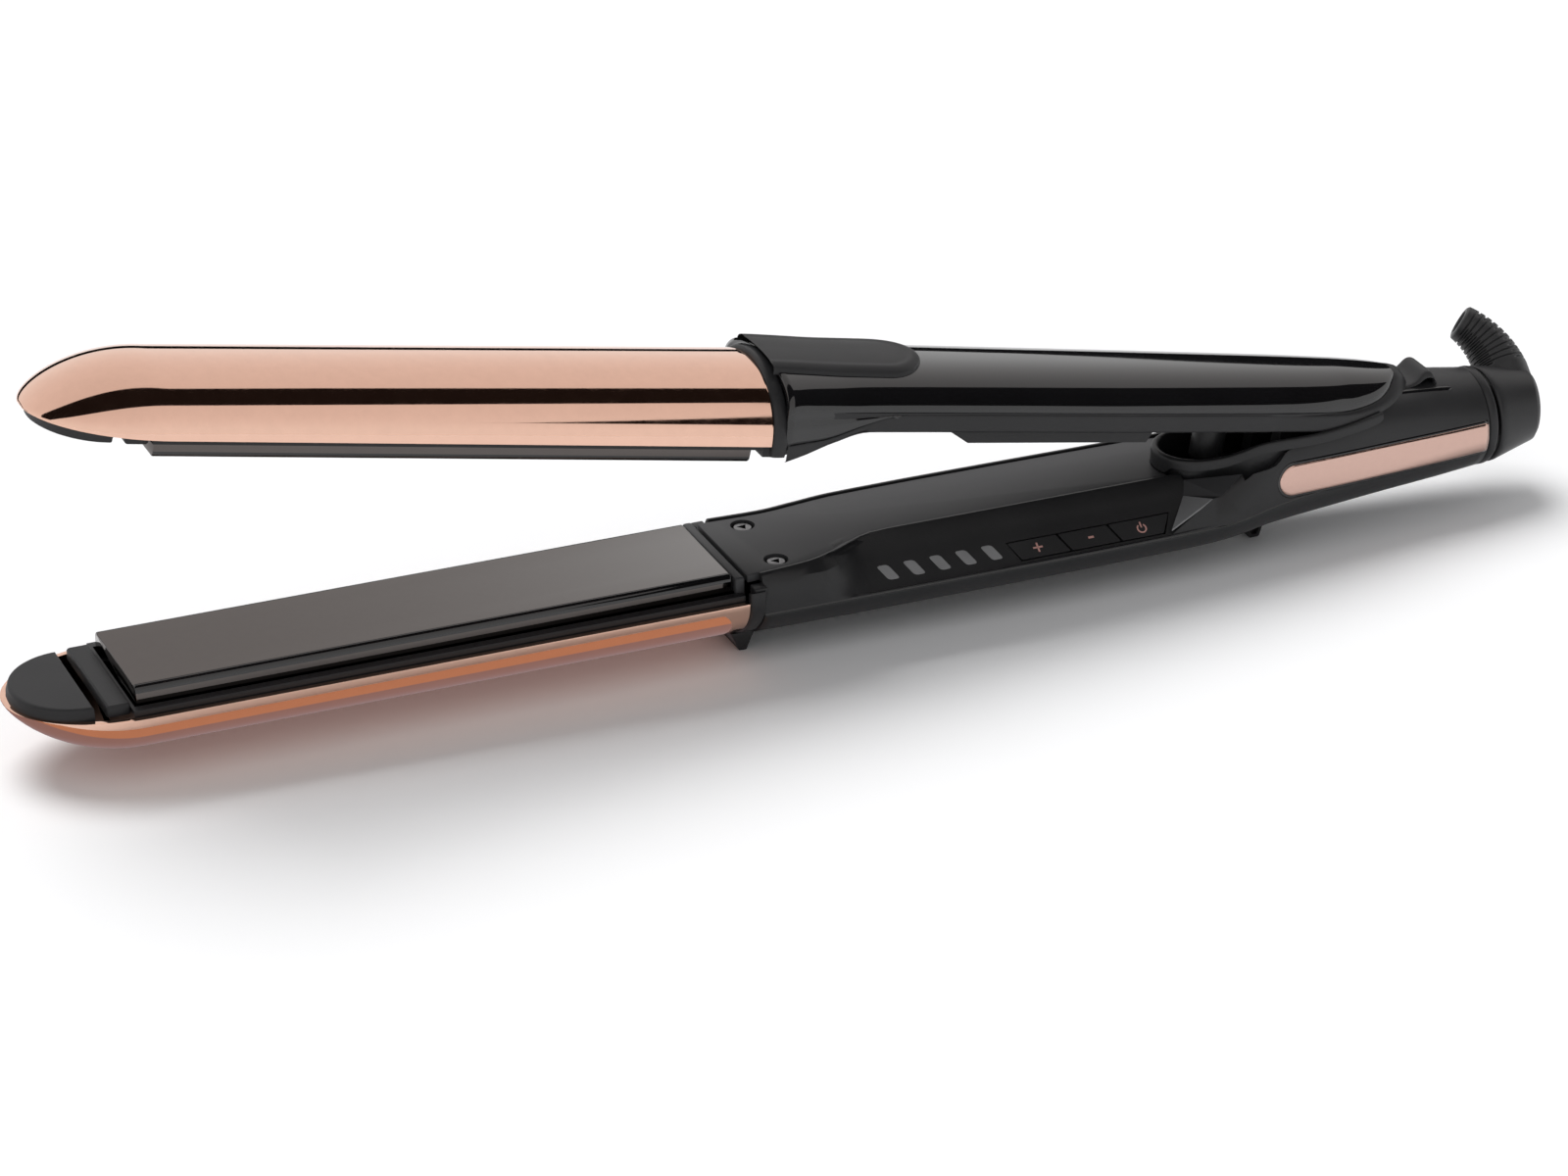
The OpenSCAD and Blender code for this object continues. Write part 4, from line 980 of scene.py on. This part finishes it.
# Spring post on the upper arm
post_prof = [(2.5, 14.7), (2.9, 14.6), (3.08, 14.75), (3.12, 15.1), (3.12, 21.2), (3.05, 21.55),
             (2.85, 21.75), (2.3, 21.85), (2.1, 22.0), (2.05, 22.3), (2.05, 24.0), (2.2, 24.3), (2.2, 24.6)]
verts, faces = lathe(post_prof, lambda a, b, h: (95.1 + a, b, h), 48)
mesh_piece("post_spring", verts, faces, ["spring_post"], move=turned)


# ---------- stage ----------
def stage_plane(name, sx, sy, at, rot, mat, camera=True):
    bpy.ops.mesh.primitive_plane_add(size=1, location=at, rotation=rot)
    o = bpy.context.object
    o.name, o.scale = name, (sx, sy, 1)
    o.data.materials.append(mat)
    o.visible_camera = camera
    return o


floor_t = Tree("floor")
fine = floor_t.noise(8.0, 3.0)
pale = floor_t.ramp(fine, [(0.3, (0.895, 0.895, 0.90)), (0.7, (0.91, 0.91, 0.915))])
floor_mat = floor_t.set(Base_Color=pale, Roughness=0.6, Specular_IOR_Level=0.15)
stage_plane("floor", 6, 6, (0.02, 0.3, min(0.0, cad_low[2])), (0, 0, 0), floor_mat)


def card(name, colour, outline, axis, at):
    """A flat card seen only in reflections, a studio flag or a painted reflection: outline in the other two
    axes, in metres.
    """
    t = Tree(name)
    t.nodes.remove(t.bsdf)
    e = t.nodes.new("ShaderNodeEmission")
    e.inputs[0].default_value = (*colour, 1)
    t.links.new(e.outputs[0], t.out.inputs[0])
    me = bpy.data.meshes.new(name)
    me.from_pydata([(p, q, at) if axis == "z" else (p, at, q) for p, q in outline], [], [range(len(outline))])
    o = bpy.data.objects.new(name, me)
    bpy.context.scene.collection.objects.link(o)
    me.materials.append(t.mat)
    o.visible_camera = o.visible_diffuse = o.visible_shadow = False
    return o


scene = bpy.context.scene
scene.view_settings.view_transform = "Standard"
world = bpy.data.worlds.new("studio")
scene.world = world
world.use_nodes = True
tree = world.node_tree
sky = tree.nodes["Background"]
sky.inputs[0].default_value = (0.985, 0.99, 1.0, 1)
path = tree.nodes.new("ShaderNodeLightPath")
dim = tree.nodes.new("ShaderNodeMapRange")
dim.inputs["To Min"].default_value, dim.inputs["To Max"].default_value = 1.0, 0.5
tree.links.new(path.outputs["Is Diffuse Ray"], dim.inputs["Value"])
tree.links.new(dim.outputs[0], sky.inputs[1])
way = tree.nodes.new("ShaderNodeTexCoord")
split = tree.nodes.new("ShaderNodeSeparateXYZ")
tree.links.new(way.outputs["Generated"], split.inputs[0])
fade = tree.nodes.new("ShaderNodeValToRGB")
stops = fade.color_ramp.elements
for at, c in ((0.25, (0.99, 0.985, 0.98)), (0.6, (0.90, 0.865, 0.85))):
    stops.new(at).color = (*c, 1)
stops[0].color, stops[-1].color = (1.0, 1.0, 1.0, 1), (0.80, 0.76, 0.74, 1)
tree.links.new(split.outputs["Z"], fade.inputs[0])
pick = tree.nodes.new("ShaderNodeMix")
pick.data_type = "RGBA"
pick.inputs["A"].default_value = (0.99, 0.992, 1.0, 1)
tree.links.new(path.outputs["Is Glossy Ray"], pick.inputs["Factor"])
tree.links.new(fade.outputs[0], pick.inputs["B"])
tree.links.new(pick.outputs["Result"], sky.inputs[0])

card("flag_top", (0.012, 0.009, 0.008), [(-4.5, -0.80), (-1.6, -0.48), (0.35, -0.34), (0.70, -0.31),
     (0.85, -0.72), (0.95, -1.6), (2.4, -3.2), (2.4, 0.12), (0.85, 0.10), (0.48, 0.20), (-1.6, 0.26),
     (-4.5, 0.30)], "z", 1.0)
card("flag_far", (0.004, 0.004, 0.004), [(-2.5, 0.0), (-2.5, 0.26), (0.4, 0.24), (0.75, 0.22), (0.95, 0.30),
     (1.27, 0.62), (2.5, 1.1), (2.5, 0.0)], "y", 1.5)
# Copper and pinkish glowing cards on the floor in front, seen only in reflections: painted reflection of the
# shaded, gold-tinted floor under the lower barrel.
card("painted_reflection_copper", (0.56, 0.32, 0.21), [(-0.20, -0.0215), (-0.002, -0.0235), (-0.002, -0.015),
     (-0.20, -0.014)], "z", 0.0006)
card("painted_reflection_shade", (0.33, 0.25, 0.26), [(-0.20, -0.014), (-0.002, -0.015), (-0.002, 0.03),
     (-0.20, 0.03)], "z", 0.0006)


def sun(name, strength, spread, at):
    d = bpy.data.lights.new(name, "SUN")
    d.energy, d.angle = strength, math.radians(spread)
    o = bpy.data.objects.new(name, d)
    o.rotation_mode = "QUATERNION"
    o.rotation_quaternion = (-Vector(at)).to_track_quat("-Z", "Y")
    o.visible_glossy = False
    scene.collection.objects.link(o)
    return o


sun("key", 2.5, 38, (-0.10, 0.62, 1.0))

# ---------- camera ----------
AZ, EL, DIST = math.radians(-23.3335), math.radians(26.0646), 0.96377
target = Vector((0.011176, 0.0, 0.006613))
back = Vector((math.sin(AZ) * math.cos(EL), -math.cos(AZ) * math.cos(EL), math.sin(EL)))
cam_data = bpy.data.cameras.new("camera")
cam_data.sensor_width, cam_data.lens = 36.0, 122.293
cam_data.clip_start, cam_data.clip_end = 0.02, 20.0
cam = bpy.data.objects.new("camera", cam_data)
cam.location = target + back * DIST
cam.rotation_mode = "QUATERNION"
cam.rotation_quaternion = (-back).to_track_quat("-Z", "Y")
scene.collection.objects.link(cam)
scene.camera = cam
